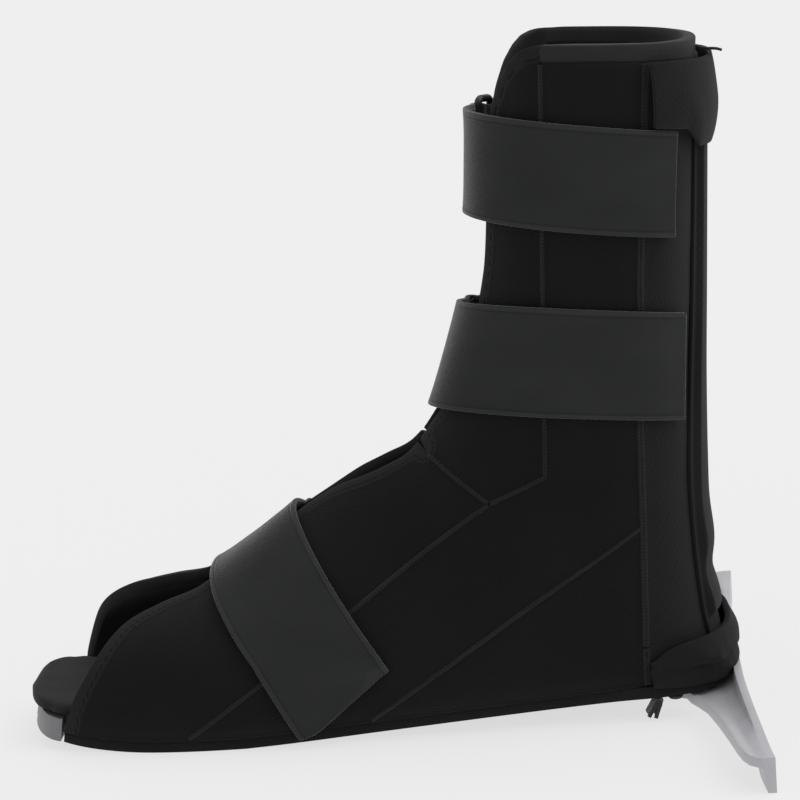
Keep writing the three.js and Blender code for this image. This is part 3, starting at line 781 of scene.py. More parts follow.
def pad(bm):
    """Crowns a panel, dips it to its seams and folds its free edges."""
    bm.normal_update()
    rim = [v for v in bm.verts if v.is_boundary]
    to_seam = nearest([v.co.copy() for v in rim if is_sewn(v.co)])
    to_edge = nearest([v.co.copy() for v in rim if not is_sewn(v.co)])
    hem = bm.verts.layers.float.new("hem")
    moves = {}
    for vert in bm.verts:
        seam, edge = to_seam(vert.co), to_edge(vert.co)
        vert[hem] = min(edge, FAR_FROM_EDGE)
        swell = PAD_CROWN * (1 - math.exp(-((min(seam, edge) / PAD_REACH) ** 2)))
        dip = PAD_DIP * seam / SEAM_REACH * math.exp(1 - seam / SEAM_REACH)
        fold = HEM_STEP * (1 - min(max((edge - HEM_WIDTH + 1) / HEM_FADE, 0), 1))
        ripple = WRINKLE * noise.noise(vert.co / WRINKLE_SIZE) * min(seam / WRINKLE_FADE, 1)
        moves[vert] = vert.normal * (swell - dip + fold + ripple)
    for vert, move in moves.items():
        vert.co += move


def no_hem(bm):
    """Tells the finish that a piece has no sewn hem."""
    hem = bm.verts.layers.float.new("hem")
    for vert in bm.verts:
        vert[hem] = FAR_FROM_EDGE


WALL, CUT_MARGIN = 5.0, 8


def panel(name, outline, side, materials):
    """A panel of the shell inside a side-view outline; side -1 is near, 1 is far, 0 is both."""
    bm = shell.copy()
    xs, zs = zip(*outline)
    low_x, high_x = min(xs) - CUT_MARGIN, max(xs) + CUT_MARGIN
    low_z, high_z = min(zs) - CUT_MARGIN, max(zs) + CUT_MARGIN

    def in_reach(p):
        on_side = side == 0 or p.y * side > 0
        return on_side and low_x < p.x < high_x and low_z < p.z < high_z

    cut_out(bm, in_reach)
    for a, b in zip(outline, outline[1:] + outline[:1]):
        side_cut(bm, a, b)
    cut_out(bm, lambda p: inside(outline, p.x, p.z))
    pad(bm)
    made = piece(name, bm, materials, [name])
    return thicken(made, WALL, inner_slot=1)


print("padding ready")

# %% [markdown]
# The near and the far side have the same four panels: the front flap of the shaft with its
# rounded top corner, the forefoot flap, the long middle panel and the heel quarter.

# %% Side panels
SHIN_FLAP = [
    SEAM["fork"], SEAM["flap_foot"], SEAM["trim_front"], (71.5, 263.0), (67.5, 261.2), (64.0, 258.0),
    (60.0, 251.5), (56.8, 243.0), (54.5, 235.0), (-REACH, 235.0), (-REACH, 146.0),
    (8.0, 120.0), (18.0, 113.5), (20.8, 108.2), (25.6, 104.2),
]
VAMP = [
    SEAM["fork"], SEAM["throat"], SEAM["throat_reach"], (-REACH, 138.4), (-REACH, -5),
    SEAM["vamp_foot"],
]
SIDE_PANEL = [SEAM[k] for k in (
    "flap_top", "flap_foot", "fork", "vamp_foot", "heel_foot", "heel_top", "rear_ankle",
    "rear_calf", "rear_top",
)]
HEEL_PANEL = [SEAM[k] for k in ("heel_foot", "rear_foot", "rear_low", "heel_top")]
OUTLINES = {
    "shin_flap": SHIN_FLAP, "vamp": VAMP, "side_panel": SIDE_PANEL, "heel_panel": HEEL_PANEL,
}
side_panels = []
for part_name, outline in OUTLINES.items():
    for side_name, side in (("near", -1), ("far", 1)):
        made = panel(f"{part_name}_{side_name}", outline, side, [PILE, LINING])
        side_panels.append(made)
        print(made.name, len(made.data.polygons), "faces")

# %% [markdown]
# The back panel wraps the shaft and the heel in ribbed knit. The rim binding is a strip of
# jersey that is rolled over the top edge, so it stands a little fuller than the panels.

# %% Back panel and rim binding
BACK_PANEL = [SEAM[k] for k in (
    "rear_top", "rear_calf", "rear_ankle", "heel_top", "rear_low", "rear_foot",
)] + [(REACH, -5), SEAM["panel_top"]]
TOP_TRIM = [SEAM[k] for k in ("flap_top", "rear_top", "panel_top", "trim_top", "trim_front")]
back_panel = panel("back_panel", BACK_PANEL, 0, [KNIT, LINING])
top_trim = panel("top_trim", TOP_TRIM, 0, [BINDING, BINDING])
print("back panel and rim:", len(back_panel.data.polygons), len(top_trim.data.polygons))

# %% [markdown]
# ## Letting the foam swell
# A formula alone leaves foam too even. So all panels are hung together in Blender's cloth
# simulation, held along every seam and edge, and a gentle pressure pushes them outwards.
# Each panel then takes this bulge, scaled down to the little that thin foam can rise.

# %% Cloth pressure in the panels
SWELL_FRAMES, SWELL_PRESSURE, SWELL_RISE = 20, 4.0, 1.1


def swell(panels):
    """Runs one simulation for all panels and moves their points out by its scaled bulge."""
    joined = bmesh.new()
    for made in panels:
        joined.from_mesh(made.data)
    joined.verts.ensure_lookup_table()
    held = [v.index for v in joined.verts if v.is_boundary]
    mesh = bpy.data.meshes.new("swelling")
    joined.to_mesh(mesh)
    joined.free()
    cloth = bpy.data.objects.new("swelling", mesh)
    scene.collection.objects.link(cloth)
    cloth.vertex_groups.new(name="held").add(held, 1.0, "REPLACE")
    sim = cloth.modifiers.new("cloth", "CLOTH")
    sim.settings.vertex_group_mass = "held"
    sim.settings.use_pressure = True
    sim.settings.uniform_pressure_force = SWELL_PRESSURE
    sim.settings.effector_weights.gravity = 0
    sim.collision_settings.use_collision = False
    sim.point_cache.frame_start, sim.point_cache.frame_end = 1, SWELL_FRAMES
    for frame_number in range(1, SWELL_FRAMES + 1):
        scene.frame_set(frame_number)
    depsgraph = bpy.context.evaluated_depsgraph_get()
    puffed = [v.co.copy() for v in cloth.evaluated_get(depsgraph).data.vertices]
    bpy.data.objects.remove(cloth)
    scene.frame_set(1)
    start = 0
    for made in panels:
        verts = made.data.vertices
        rises = [(puffed[start + v.index] - v.co).dot(v.normal) / MM for v in verts]
        start += len(verts)
        highest = max(max(rises), 0.01)
        for vert, rise in zip(verts, rises):
            vert.co += vert.normal * max(rise, 0) * MM * min(1, SWELL_RISE / highest)
        print(made.name, "swells", round(highest, 1), "mm, scaled to", round(min(highest, SWELL_RISE), 1))


swell(side_panels + [back_panel])

# %% [markdown]
# ## Bands that run round the last
# Straps, the heel band and the pocket's flap all lie on the shell between two edges. For
# each place across the band, the path round the last is found by halving: at each angle,
# the section where the last meets the band's line. The grid then runs along the band.

# %% A band between two edges
STRAP_LIFT, STRAP_THICKNESS = 0.7, 2.0
STRAP_TOP = STRAP_LIFT + STRAP_THICKNESS


def band_grid(columns, rows, path, lift, sections, ends, width=None, taut=0.0):
    """path(v) gives the test of a line across the band; ends(v, at) its first and last angle.

    A taut band goes straight from edge to edge where the last is hollow.
    """
    lines = {}

    def section_on(v, angle):
        test = path(v)
        return crossing(lambda s: test(last_point(s, angle)), *sections)

    @lru_cache(maxsize=None)
    def on_last(u, v):
        if v not in lines:
            lines[v] = ends(v, lambda angle: last_point(section_on(v, angle), angle, STRAP_TOP))
        start, end = lines[v]
        angle = start + (end - start) * u
        s = section_on(v, angle)
        return last_point(s, angle, lift(u, v, s, angle))

    def place(u, v):
        chord = on_last(u, 0.0).lerp(on_last(u, 1.0), v)
        return on_last(u, v).lerp(chord, taut)

    middle = [place(k / columns, 0.5) for k in range(columns + 1)]
    length = sum((b - a).length for a, b in zip(middle, middle[1:]))
    width = width or (place(0.5, 0.0) - place(0.5, 1.0)).length
    bm = laid_grid(columns, rows, place, (length, width))
    face_outwards(bm, away_from_middle)
    return bm, length


def level_line(low, high, v, tilt=0.0):
    """Test of a line of the side view, v of the way from a low to a high one."""
    def test(p):
        z = line_at(low, p.x) * (1 - v) + line_at(high, p.x) * v
        return p.z + tilt * p.y - z
    return test


print("band tool ready")

# %% [markdown]
# The band round the heel holds the boot on the bar. It is a soft padded roll: it leaves the
# cloth towards the back, leans outwards, creases where it is pulled round and folds in once
# along its lower half.

# %% Heel band
BAND_LOW = [(103.5, 15.4), (110, 15.2), (136, 16.6), (REACH, 16.6)]
BAND_HIGH = [(103.5, 25.0), (108, 29.5), (114, 32.6), (122, 35.2), (136, 38.4), (REACH, 41)]
BAND_START_X = 103.5
BAND_COLUMNS, BAND_ROWS = 96, 26
BAND_SIDE_THICKNESS, BAND_BACK_THICKNESS, BAND_LIFT_BACK = 2.4, 4.6, 3.6
BAND_CLOTH, BAND_INSET, BAND_LEAN_ROW = 2.4, 0.8, 7.6
BAND_ROLL, BAND_CREASE, BAND_PUCKER, BAND_PULL = 1.2, 0.9, 0.6, 0.8
BAND_END, BAND_END_SINK = 0.10, 0.9
FOLD_DEPTH, FOLD_AT, FOLD_HALF, LOW_ROLL = 1.7, 0.38, 0.09, 2.6


def from_x_to_x(start_x):
    """Ends of a band that starts and ends at one place along the boot, round the back."""
    def ends(v, at):
        angle = crossing(lambda a: at(a).x - start_x, math.radians(60), math.pi)
        return angle, 2 * math.pi - angle
    return ends


def heel_band_lift(u, v, s, angle):
    """Height of the band's face: full and leaning at the back, flat at its sewn ends."""
    back = back_share(angle)
    lean = BAND_LIFT_BACK * min(max(BAND_LEAN_ROW - s, 0), 1) * back
    full = BAND_SIDE_THICKNESS + (BAND_BACK_THICKNESS - BAND_SIDE_THICKNESS) * back
    roll = BAND_ROLL * math.sin(math.pi * v**1.4) * (0.35 + back)
    crease = BAND_CREASE * noise.noise(Vector((u * 9, v * 3.2, 4.0)))
    crease += BAND_PUCKER * noise.noise(Vector((u * 24, v * 5.0, 8.0))) * back
    crease += BAND_PULL * math.sin(8 * v + 16 * u) * back
    crease -= FOLD_DEPTH * math.exp(-(((v - FOLD_AT) / FOLD_HALF) ** 2)) * back
    low_roll = LOW_ROLL * (1 - v) ** 1.5 * back
    end = max(0.0, 1 - min(u, 1 - u) / BAND_END)
    full += low_roll - BAND_INSET - BAND_END_SINK * end
    return STRAP_LIFT + lean + full + roll + crease * math.sin(math.pi * v)


bm, band_length = band_grid(
    BAND_COLUMNS, BAND_ROWS, lambda v: level_line(BAND_LOW, BAND_HIGH, v), heel_band_lift,
    (5.0, 9.0), from_x_to_x(BAND_START_X),
)
no_hem(bm)
# The band's lighter pile is painted light.
heel_band = piece("heel_band", bm, [BAND_PILE], ["heel_band"])
thicken(heel_band, BAND_CLOTH)
print("heel band:", round(band_length), "mm long")

# %% [markdown]
# ## Straps and rings
# Each strap is sewn to a tab on the far side, passes a ring there, comes round the front and
# is pressed onto the near side. A flat strap has no give across its width, so it lies in a
# clean curve. At the ring its end turns over the ring's wire and into the slot.

# %% Ring places
Strap = namedtuple("Strap", "name section angle ring_lift sections low high end tilt")
STRAPS = [
    Strap(
        "upper", 1.05, -31, 0.6, (0.0, 3.0), [(20, 201), (120.6, 187.4)], [(20, 241.8), (123.6, 226.7)],
        [(187.4, 120.6), (226.7, 123.6)], 0.03,
    ),
    Strap(
        "lower", 3.03, -36, 1.6, (0.6, 6.0), [(5, 123.8), (120.4, 113.4)], [(5, 166.6), (123.3, 154.5)],
        [(113.4, 120.4), (154.5, 123.3)], 0.13,
    ),
    Strap(
        "forefoot", 11.0, -34, 0.9, (8.0, 15.0),
        [(5.2, -34.2), (33.5, -48.5), (57.5, -64.8), (76.7, -78.0)],
        [(5.2, 17.6), (30.0, 2.6), (84.5, -30.5), (101.8, -44.3)],
        [(-34.2, 4.2), (-27.0, 6.4), (2.6, 29.2)], 0.0,
    ),
]
RING_BAR, RING_SLOT = 3.0, 7.0
RING_HALF = RING_SLOT / 2 + RING_BAR
RING_REACH = TAPE_WIDTH / 2 + 1
ANGLE_STEP, ROW_STEP = 0.05, 0.2


def ring_axes(strap):
    """Axes of a ring: x runs round the boot to the back, y along the ring, z out of the cloth."""
    s, angle = strap.section, math.radians(strap.angle)
    centre = last_point(s, angle, strap.ring_lift)
    x = (last_point(s, angle - ANGLE_STEP) - last_point(s, angle + ANGLE_STEP)).normalized()
    along = last_point(s - ROW_STEP, angle) - last_point(s + ROW_STEP, angle)
    z = along.cross(x).normalized()
    y = z.cross(x)
    return Matrix.Translation(centre) @ Matrix((x, y, z)).transposed().to_4x4()


for strap in STRAPS:
    print("ring", strap.name, "at", [round(v) for v in ring_axes(strap).translation])

# %% [markdown]
# A strap is cut from a roll of tape. Its grid runs from the ring to the free end, so the
# weave runs along it. The ring end is then drawn on in steps, over the wire and into the
# slot. The lower strap is pulled taut across the bend of the ankle.

# %% Straps
STRAP_COLUMNS, STRAP_ROWS = 84, 16
STRAP_EDGE, STRAP_END_EDGE = 0.55, 0.93
STRAP_STAND, STRAP_CURL, STRAP_END_LIFT, STRAP_RIPPLE = 0.4, 0.5, 0.8, 0.2
TAUT = {"upper": 0.0, "lower": 0.85, "forefoot": 0.0}
TURN_FROM, TURN_SNAP = 11.0, 0.4
TURN = [
    (11.0, 2.1), (9.0, 3.2), (7.2, 4.5), (5.0, 5.2), (2.9, 4.6), (1.5, 2.9), (1.3, 1.4), (1.5, 0.3),
]


def strap_path(strap):
    """Tests of the lines along a strap: low edge at v 0 and high edge at v 1."""
    if strap.name != "forefoot":
        return lambda v: level_line(strap.low, strap.high, v, strap.tilt)
    return lambda v: lambda p: p.x - line_at(strap.low, p.z) * (1 - v) - line_at(strap.high, p.z) * v


def ring_side(strap, sign, start, end):
    """Ends of a tape that lies between two distances from its ring, on one side of it."""
    inverse = ring_axes(strap).inverted()
    first = math.radians(strap.angle)

    def ends(v, at):
        def angle_for(distance):
            return crossing(
                lambda a: sign * (inverse @ at(a)).x - distance, first, first - sign * math.radians(75),
            )
        return angle_for(start), angle_for(end)
    return ends


def free_end(strap):
    """Ends of a strap that starts at its ring and stops at its free end on the near side."""
    at_ring = ring_side(strap, -1, TURN_FROM, TURN_FROM + 1)

    def ends(v, at):
        start = at_ring(v, at)[0]
        if strap.name == "forefoot":
            stop = crossing(
                lambda a: at(a).z - line_at(strap.end, at(a).x), math.radians(50), math.radians(150),
            )
        else:
            stop = crossing(
                lambda a: at(a).x - line_at(strap.end, at(a).z), math.radians(60), math.radians(178),
            )
        return start, stop
    return ends


def with_turn(bm, strap, sign):
    """Draws the tape's ring end on, over the ring's wire and down into its slot."""
    axes = ring_axes(strap)
    inverse = axes.inverted()
    edges = [
        e for e in bm.edges
        if e.is_boundary and all(abs(sign * (inverse @ v.co).x - TURN_FROM) < TURN_SNAP for v in e.verts)
    ]
    for (x0, z0), (x1, z1) in zip(TURN, TURN[1:]):
        made = bmesh.ops.extrude_edge_only(bm, edges=edges)["geom"]
        edges = [e for e in made if isinstance(e, bmesh.types.BMEdge)]
        step = axes.to_3x3() @ Vector((sign * (x1 - x0), 0, z1 - z0))
        bmesh.ops.translate(bm, vec=step, verts=[v for v in made if isinstance(v, bmesh.types.BMVert)])
    bm.normal_update()


def strap_lift(strap):
    """Height of a strap's face: it stands off a little at its edges and lifts at its end."""
    def lift(u, v, s, angle):
        curl = STRAP_CURL * (2 * v - 1) ** 4
        end = STRAP_END_LIFT * max(0.0, (u - STRAP_END_EDGE) / (1 - STRAP_END_EDGE)) ** 2
        ripple = STRAP_RIPPLE * noise.noise(Vector((u * 6, v * 1.5, strap.section)))
        return STRAP_TOP + curl + end + ripple + STRAP_STAND
    return lift


for strap in STRAPS:
    bm, length = band_grid(
        STRAP_COLUMNS, STRAP_ROWS, strap_path(strap), strap_lift(strap), strap.sections, free_end(strap),
        TAPE_WIDTH, TAUT[strap.name],
    )
    with_turn(bm, strap, -1)
    made = piece(f"strap_{strap.name}", bm, [TAPE], [f"strap_{strap.name}"])
    thicken(made, STRAP_THICKNESS, 0)
    crisp(made, STRAP_EDGE)
    print(made.name, round(length), "mm")

# %% [markdown]
# A ring could be moulded in one piece, or bent from coated wire: a round section goes round
# a rectangle with rounded corners. A short tab of the same tape holds it. The tab turns over
# the ring from the other side, and its end is sewn to the cloth with a box of stitches.

# %% Rings and their sewn tabs
RING_CORNER, CORNER_STEPS, WIRE_SIDES = 2.4, 5, 12
TAB_LENGTH, TAB_COLUMNS, TAB_STAND, TAB_EDGE = 40.0, 18, 0.2, 0.5


def ring_wire(strap):
    """A rectangular ring of round wire with rounded corners."""
    wire = RING_BAR / 2
    far_x = RING_HALF - wire - RING_CORNER
    far_y = RING_REACH + wire - RING_CORNER
    upwards = Vector((0, 0, 1))
    sections = []
    for x, y, start in ((far_x, far_y, 0), (-far_x, far_y, 90), (-far_x, -far_y, 180), (far_x, -far_y, 270)):
        for step in range(CORNER_STEPS + 1):
            angle = math.radians(start + 90 / CORNER_STEPS * step)
            outwards = Vector((math.cos(angle), math.sin(angle), 0))
            middle = Vector((x, y, wire)) + outwards * RING_CORNER
            turns = (2 * math.pi * k / WIRE_SIDES for k in range(WIRE_SIDES))
            sections.append([
                middle + (upwards * math.cos(turn) - outwards * math.sin(turn)) * wire for turn in turns
            ])
    bm = lofted(sections, True)
    bmesh.ops.transform(bm, matrix=ring_axes(strap), verts=bm.verts)
    return bm


for strap in STRAPS:
    piece(f"ring_{strap.name}", ring_wire(strap), [BLACK_PLASTIC], [f"ring_{strap.name}"])
    bm, length = band_grid(
        TAB_COLUMNS, STRAP_ROWS, strap_path(strap), lambda u, v, s, angle: STRAP_TOP + TAB_STAND,
        strap.sections, ring_side(strap, 1, TURN_FROM, RING_HALF + TAB_LENGTH), TAPE_WIDTH,
    )
    with_turn(bm, strap, 1)
    made = piece(f"tab_{strap.name}", bm, [SEWN_TAPE], [f"tab_{strap.name}"])
    thicken(made, STRAP_THICKNESS, 0)
    crisp(made, TAB_EDGE)
    print(made.name, round(length), "mm")

# %% [markdown]
# ## Splint pocket and its flap
# A long pocket is sewn down the back for a stiff splint. Its cloth stands proud of the back
# and is piped along both sides; at the ankle it buckles, because the splint is straight and
# the heel is not. Its lower end is flat and goes under the heel band.

# %% Splint pocket
POCKET_HALF, POCKET_FOOT, POCKET_TUCK, POCKET_TOP = 27, 29, 6, 226
POCKET_COLUMNS, POCKET_ROWS = 48, 120
POCKET_DEPTH, POCKET_CLOTH, POCKET_CLEARANCE = 3.8, 1.4, 0.3
POCKET_SEAM, POCKET_WALL = 2.2, 4
BUCKLE_DEPTH, BUCKLE_AT, BUCKLE_PITCH = 1.3, 4.7, 1.2
BUCKLE_MIDDLE, BUCKLE_SPREAD = 5.3, 0.6
PIPING_IN, PIPING_HALF, PIPING_HEIGHT, PIPING_END = 4.4, 1.5, 0.9, 5


def pocket_ends(v, at):
    """Angles of the pocket's two sides."""
    angle = crossing(lambda a: at(a).y + POCKET_HALF, math.pi / 2, math.pi)
    return angle, 2 * math.pi - angle


def pocket_lift(u, v, s, angle):
    """Height of the pocket's face, with its walls, piping and buckles."""
    edge = min(u, 1 - u) * 2 * POCKET_HALF
    foot = v * (POCKET_TOP - POCKET_FOOT)
    rise = min(max((min(edge, foot - POCKET_TUCK) - POCKET_SEAM) / POCKET_WALL, 0), 1)
    buckle = BUCKLE_DEPTH * math.cos((s - BUCKLE_AT) * 2 * math.pi / BUCKLE_PITCH)
    buckle *= math.exp(-((s - BUCKLE_MIDDLE) ** 2) / BUCKLE_SPREAD)
    piping = PIPING_HEIGHT * math.exp(-(((edge - PIPING_IN) / PIPING_HALF) ** 2))
    piping *= min(max(foot - POCKET_TUCK, 0) / PIPING_END, 1)
    flat = STRAP_LIFT + POCKET_CLOTH + POCKET_CLEARANCE
    return flat + (POCKET_DEPTH - POCKET_CLOTH + buckle) * rise * rise * (3 - 2 * rise) + piping


bm, pocket_width = band_grid(
    POCKET_COLUMNS, POCKET_ROWS,
    lambda v: lambda p: p.z - POCKET_FOOT - v * (POCKET_TOP - POCKET_FOOT), pocket_lift,
    (0.2, 7.6), pocket_ends,
)
splint_pocket = piece("splint_pocket", bm, [KNIT], ["splint_pocket"])
thicken(splint_pocket, POCKET_CLOTH)
print("pocket:", round(pocket_width), "mm round")

# %% [markdown]
# A padded flap is sewn on above the pocket and hangs over its mouth. It is thin at its sides
# and stands off at the back, where its lower edge curls in again.

# %% Pocket flap
FLAP_LOW = [(115, 230.2), (124.3, 228.8), (127.5, 221.5), (REACH, 219)]
FLAP_HIGH = [(115, 255), (124, 254.5), (REACH, 254.5)]
FLAP_START_X = 115
FLAP_SIDE_THICKNESS, FLAP_BACK_THICKNESS, FLAP_CLOTH = 1.4, 6.8, 1.6
FLAP_CLEARANCE, FLAP_THIN_TOP, FLAP_ROLL, FLAP_CURL, FLAP_CREASE = 0.4, 0.3, 1.0, 1.4, 0.5


def pocket_flap_lift(u, v, s, angle):
    """Height of the flap's face."""
    back = back_share(angle)
    stand = (FLAP_BACK_THICKNESS - FLAP_SIDE_THICKNESS) * back * (1 - FLAP_THIN_TOP * v**3)
    roll = FLAP_ROLL * back * math.sin(math.pi * v) - FLAP_CURL * back * (1 - v) ** 7
    crease = FLAP_CREASE * noise.noise(Vector((u * 7, v * 2.2, 9.0))) * math.sin(math.pi * v)
    return STRAP_LIFT + FLAP_SIDE_THICKNESS + FLAP_CLEARANCE + stand + roll + crease


bm, flap_length = band_grid(
    80, 14, lambda v: level_line(FLAP_LOW, FLAP_HIGH, v), pocket_flap_lift, (0.0, 3.0),
    from_x_to_x(FLAP_START_X),
)
pocket_flap = piece("pocket_flap", bm, [KNIT], ["pocket_flap"])
thicken(pocket_flap, FLAP_CLOTH)
print("pocket flap:", round(flap_length), "mm round")

# %% [markdown]
# The binding of the rim ends in a short loose tail at the back. It is a narrow strip that
# leaves the cloth and droops a little.

# %% Loose end of the binding
END_ANGLE, END_HEIGHT, END_WIDTH = math.radians(166), 257.5, 3.6
END_FROM, END_TO, END_THICKNESS = 0.6, 10.5, 0.9
END_DROOP, END_WAVE = 1.5, 0.5
end_row = crossing(lambda s: END_HEIGHT - last_point(s, END_ANGLE, 0).z, 0.0, 3.0)


def binding_end_place(u, v):
    """Place on the tail, which runs straight out of the cloth and droops."""
    spot = last_point(end_row, END_ANGLE, END_FROM + (END_TO - END_FROM) * u)
    sag = END_DROOP * u * u + END_WAVE * math.sin(5 * u)
    return spot + Vector((0, END_WIDTH * (v - 0.5), -sag))


bm = laid_grid(12, 4, binding_end_place, (END_TO - END_FROM, END_WIDTH))
face_outwards(bm, lambda p: Vector((0, 0, 1)))
binding_end = piece("binding_end", bm, [BINDING], ["top_trim"])
thicken(binding_end, END_THICKNESS)
print("loose end:", round(END_TO - END_FROM, 1), "mm long")

# %% [markdown]
# ## The sole
# The sole has three layers: a cloth sole, a stiff grey plate whose rounded lip shows at the
# toe end, and a padded footbed. Each is a slab with the outline that the last has at its
# height. The outline comes from the last itself, so the layers end where the cloth does.

# %% Outlines of the sole
OUTLINE_STEPS = 140
BLUNT_SHARE, HEEL_INSET = 0.2, 0.25


def outline_of(height, lift):
    """The last's (x, half width) pairs at a height above the sole, from the heel to the toe end."""
    def above(s, angle):
        p = last_point(s, angle, lift(s, angle))
        return p.z - sole_height(p.x) - height

    heel = crossing(lambda s: above(s, math.pi), 5.0, 9.5)
    pairs = []
    for k in range(OUTLINE_STEPS + 1):
        s = heel + (LAST_ROW - heel) * (1 - math.cos(math.pi * k / OUTLINE_STEPS)) / 2
        angle = crossing(lambda a: above(s, a), 0.02, math.pi)
        p = last_point(s, angle, lift(s, angle))
        pairs.append((p.x, -p.y))
    return pairs


def round_nosed(pairs, x, front, length):
    """The half width of an outline whose front is a half ellipse, cut a little blunt."""
    ahead = min(max((front + length - x) / length, 0), 1)
    return line_at(pairs, max(x, front + length)) * max(math.sqrt(1 - ahead**2), BLUNT_SHARE)


def slab(x_from, x_to, half_width, top, cells=(150, 20)):
    """A grid over an outline; it is finer towards both ends. top(x, share across) is its height."""
    def place(u, v):
        x = x_from + (x_to - x_from) * (1 - math.cos(math.pi * u)) / 2
        across = 2 * v - 1
        return Vector((x, half_width(x) * across, sole_height(x) + top(x, across)))

    bm = laid_grid(*cells, place, (x_to - x_from, 2 * half_width(0)))
    face_outwards(bm, lambda p: Vector((0, 0, 1)))
    return bm


SOLE_FRONT, COVER_OUTLINE_AT, COVER_ROUND = -127.2, 2.6, 1.6
HEEL_SWELL, HEEL_SWELL_ROW, HEEL_SWELL_SPREAD = 6.4, 7.6, 1.2


def cover_lift(s, angle):
    """How far the cloth sole stands out under the heel."""
    return HEEL_SWELL * math.exp(-((s - HEEL_SWELL_ROW) ** 2) / HEEL_SWELL_SPREAD) * back_share(angle)


cover_pairs = outline_of(COVER_OUTLINE_AT, cover_lift)
cover_heel = max(x for x, _ in cover_pairs) - HEEL_INSET
bm = slab(SOLE_FRONT, cover_heel, lambda x: line_at(cover_pairs, x), lambda x, w: COVER_THICKNESS)
no_hem(bm)
# The cloth sole's lighter pile is painted light.
sole_cover = piece("sole_cover", bm, [BAND_PILE], ["sole_cover"])
thicken(sole_cover, COVER_THICKNESS, 0)
crisp(sole_cover, COVER_ROUND, 3)
print("cloth sole:", round(cover_heel - SOLE_FRONT), "mm long")

# %% [markdown]
# The plate is moulded in one with its lip: it is thin on the cloth sole, and in front of the
# cloth it goes the full way down. Here the lip is a slab of its own, because its front is
# half an ellipse, about as wide as the cloth sole behind it.

# %% Stiff plate and its toe lip
PLATE_TOP, PLATE_LIFT, PLATE_OUTLINE_AT, PLATE_EDGE = 9.2, -7.0, 7.0, 0.8
LIP_SETBACK, LIP_LIFT, LIP_OUTLINE_AT, LIP_EDGE = 3.2, -0.4, 5.0, 0.9
LIP_BACK, LIP_CLEARANCE, LIP_RAISED = SOLE_FRONT - 0.3, 0.1, 0.2
lip_pairs = outline_of(LIP_OUTLINE_AT, lambda s, a: LIP_LIFT)
plate_pairs = outline_of(PLATE_OUTLINE_AT, lambda s, a: PLATE_LIFT)
lip_front = min(x for x, _ in lip_pairs) + LIP_SETBACK
plate_heel = max(x for x, _ in plate_pairs) - HEEL_INSET
bm = slab(LIP_BACK, plate_heel, lambda x: line_at(plate_pairs, x), lambda x, w: PLATE_TOP)
# The plate and the lip use the darker copy of the grey plastic: painted shade.
plate = piece("sole_plate", bm, [SHADED_PLATE_PLASTIC], ["sole_plate"])
thicken(plate, PLATE_TOP - cloth_foot, 0)
crisp(plate, PLATE_EDGE)
bm = slab(
    lip_front, LIP_BACK - LIP_CLEARANCE,
    lambda x: round_nosed(lip_pairs, x, lip_front, LIP_BACK - lip_front),
    lambda x, w: PLATE_TOP, (40, 24),
)
toe_lip = piece("toe_lip", bm, [SHADED_PLATE_PLASTIC], ["sole_plate"])
thicken(toe_lip, PLATE_TOP - LIP_RAISED, 0)
crisp(toe_lip, LIP_EDGE, 4)
print("plate:", round(plate_heel - lip_front), "mm long")

# %% [markdown]
# The footbed is a foam pad covered in jersey. It lies inside the panels and widens to a round
# pad on the lip. Its upper edge is rolled over, and its underside is flat on the plate.

# %% Padded footbed
FOOTBED_THICKNESS, FOOTBED_LIFT, TOE_PAD_LIFT, BED_OUTLINE_AT = 5.2, -6.5, -0.6, 12.0
FOOTBED_TOP = PLATE_TOP + SEAT_GAP + FOOTBED_THICKNESS
PAD_BACK, PAD_TAPER, PAD_NOSE, PAD_SETBACK = -121.5, 8.0, 11.0, 0.6
ROLL_WIDTH, ROLL_HEIGHT, BED_SINK, BED_DIMPLE = 4.0, 3.2, 0.2, 0.35
bed_pairs = outline_of(BED_OUTLINE_AT, lambda s, a: FOOTBED_LIFT)
pad_pairs = outline_of(BED_OUTLINE_AT, lambda s, a: TOE_PAD_LIFT)
bed_front = min(x for x, _ in pad_pairs) + PAD_SETBACK
bed_heel = max(x for x, _ in bed_pairs) - HEEL_INSET


def footbed_half_width(x):
    """Narrow between the panels, and as wide as the pad in front of them."""
    share = min(max((PAD_BACK - x) / PAD_TAPER, 0), 1)
    pad = round_nosed(pad_pairs, x, bed_front, PAD_NOSE)
    return line_at(bed_pairs, x) * (1 - share) + pad * share


def footbed_top(x, across):
    """Height of the footbed's face, lower at its rolled edge."""
    edge = min(footbed_half_width(x) * (1 - abs(across)), x - bed_front, bed_heel - x)
    outside = 1 - min(max(edge / ROLL_WIDTH, 0), 1)
    roll = ROLL_HEIGHT * (1 - math.sqrt(1 - outside**2))
    dimple = BED_DIMPLE * noise.noise(Vector((x / 15, across * 3, 2.0)))
    return FOOTBED_TOP - BED_SINK + dimple - roll


bm = slab(bed_front, bed_heel, footbed_half_width, footbed_top, (150, 48))
under = bmesh.ops.solidify(bm, geom=bm.faces[:], thickness=FOOTBED_THICKNESS)
for vert in under["geom"]:
    if isinstance(vert, bmesh.types.BMVert):
        vert.co.z = sole_height(vert.co.x) + PLATE_TOP + SEAT_GAP
piece("footbed", bm, [FOOT_CLOTH], ["footbed"])
print("footbed:", round(bed_heel - bed_front), "mm long")

# %% [markdown]
# ## The bar that stops the boot from turning
# A moulded bar crosses behind the heel. Its web is thin, with a low wall along its back
# edge, and each wing drops to a foot at its tip. Its section changes from station to station
# and is lofted along the bar, which has two equal halves.

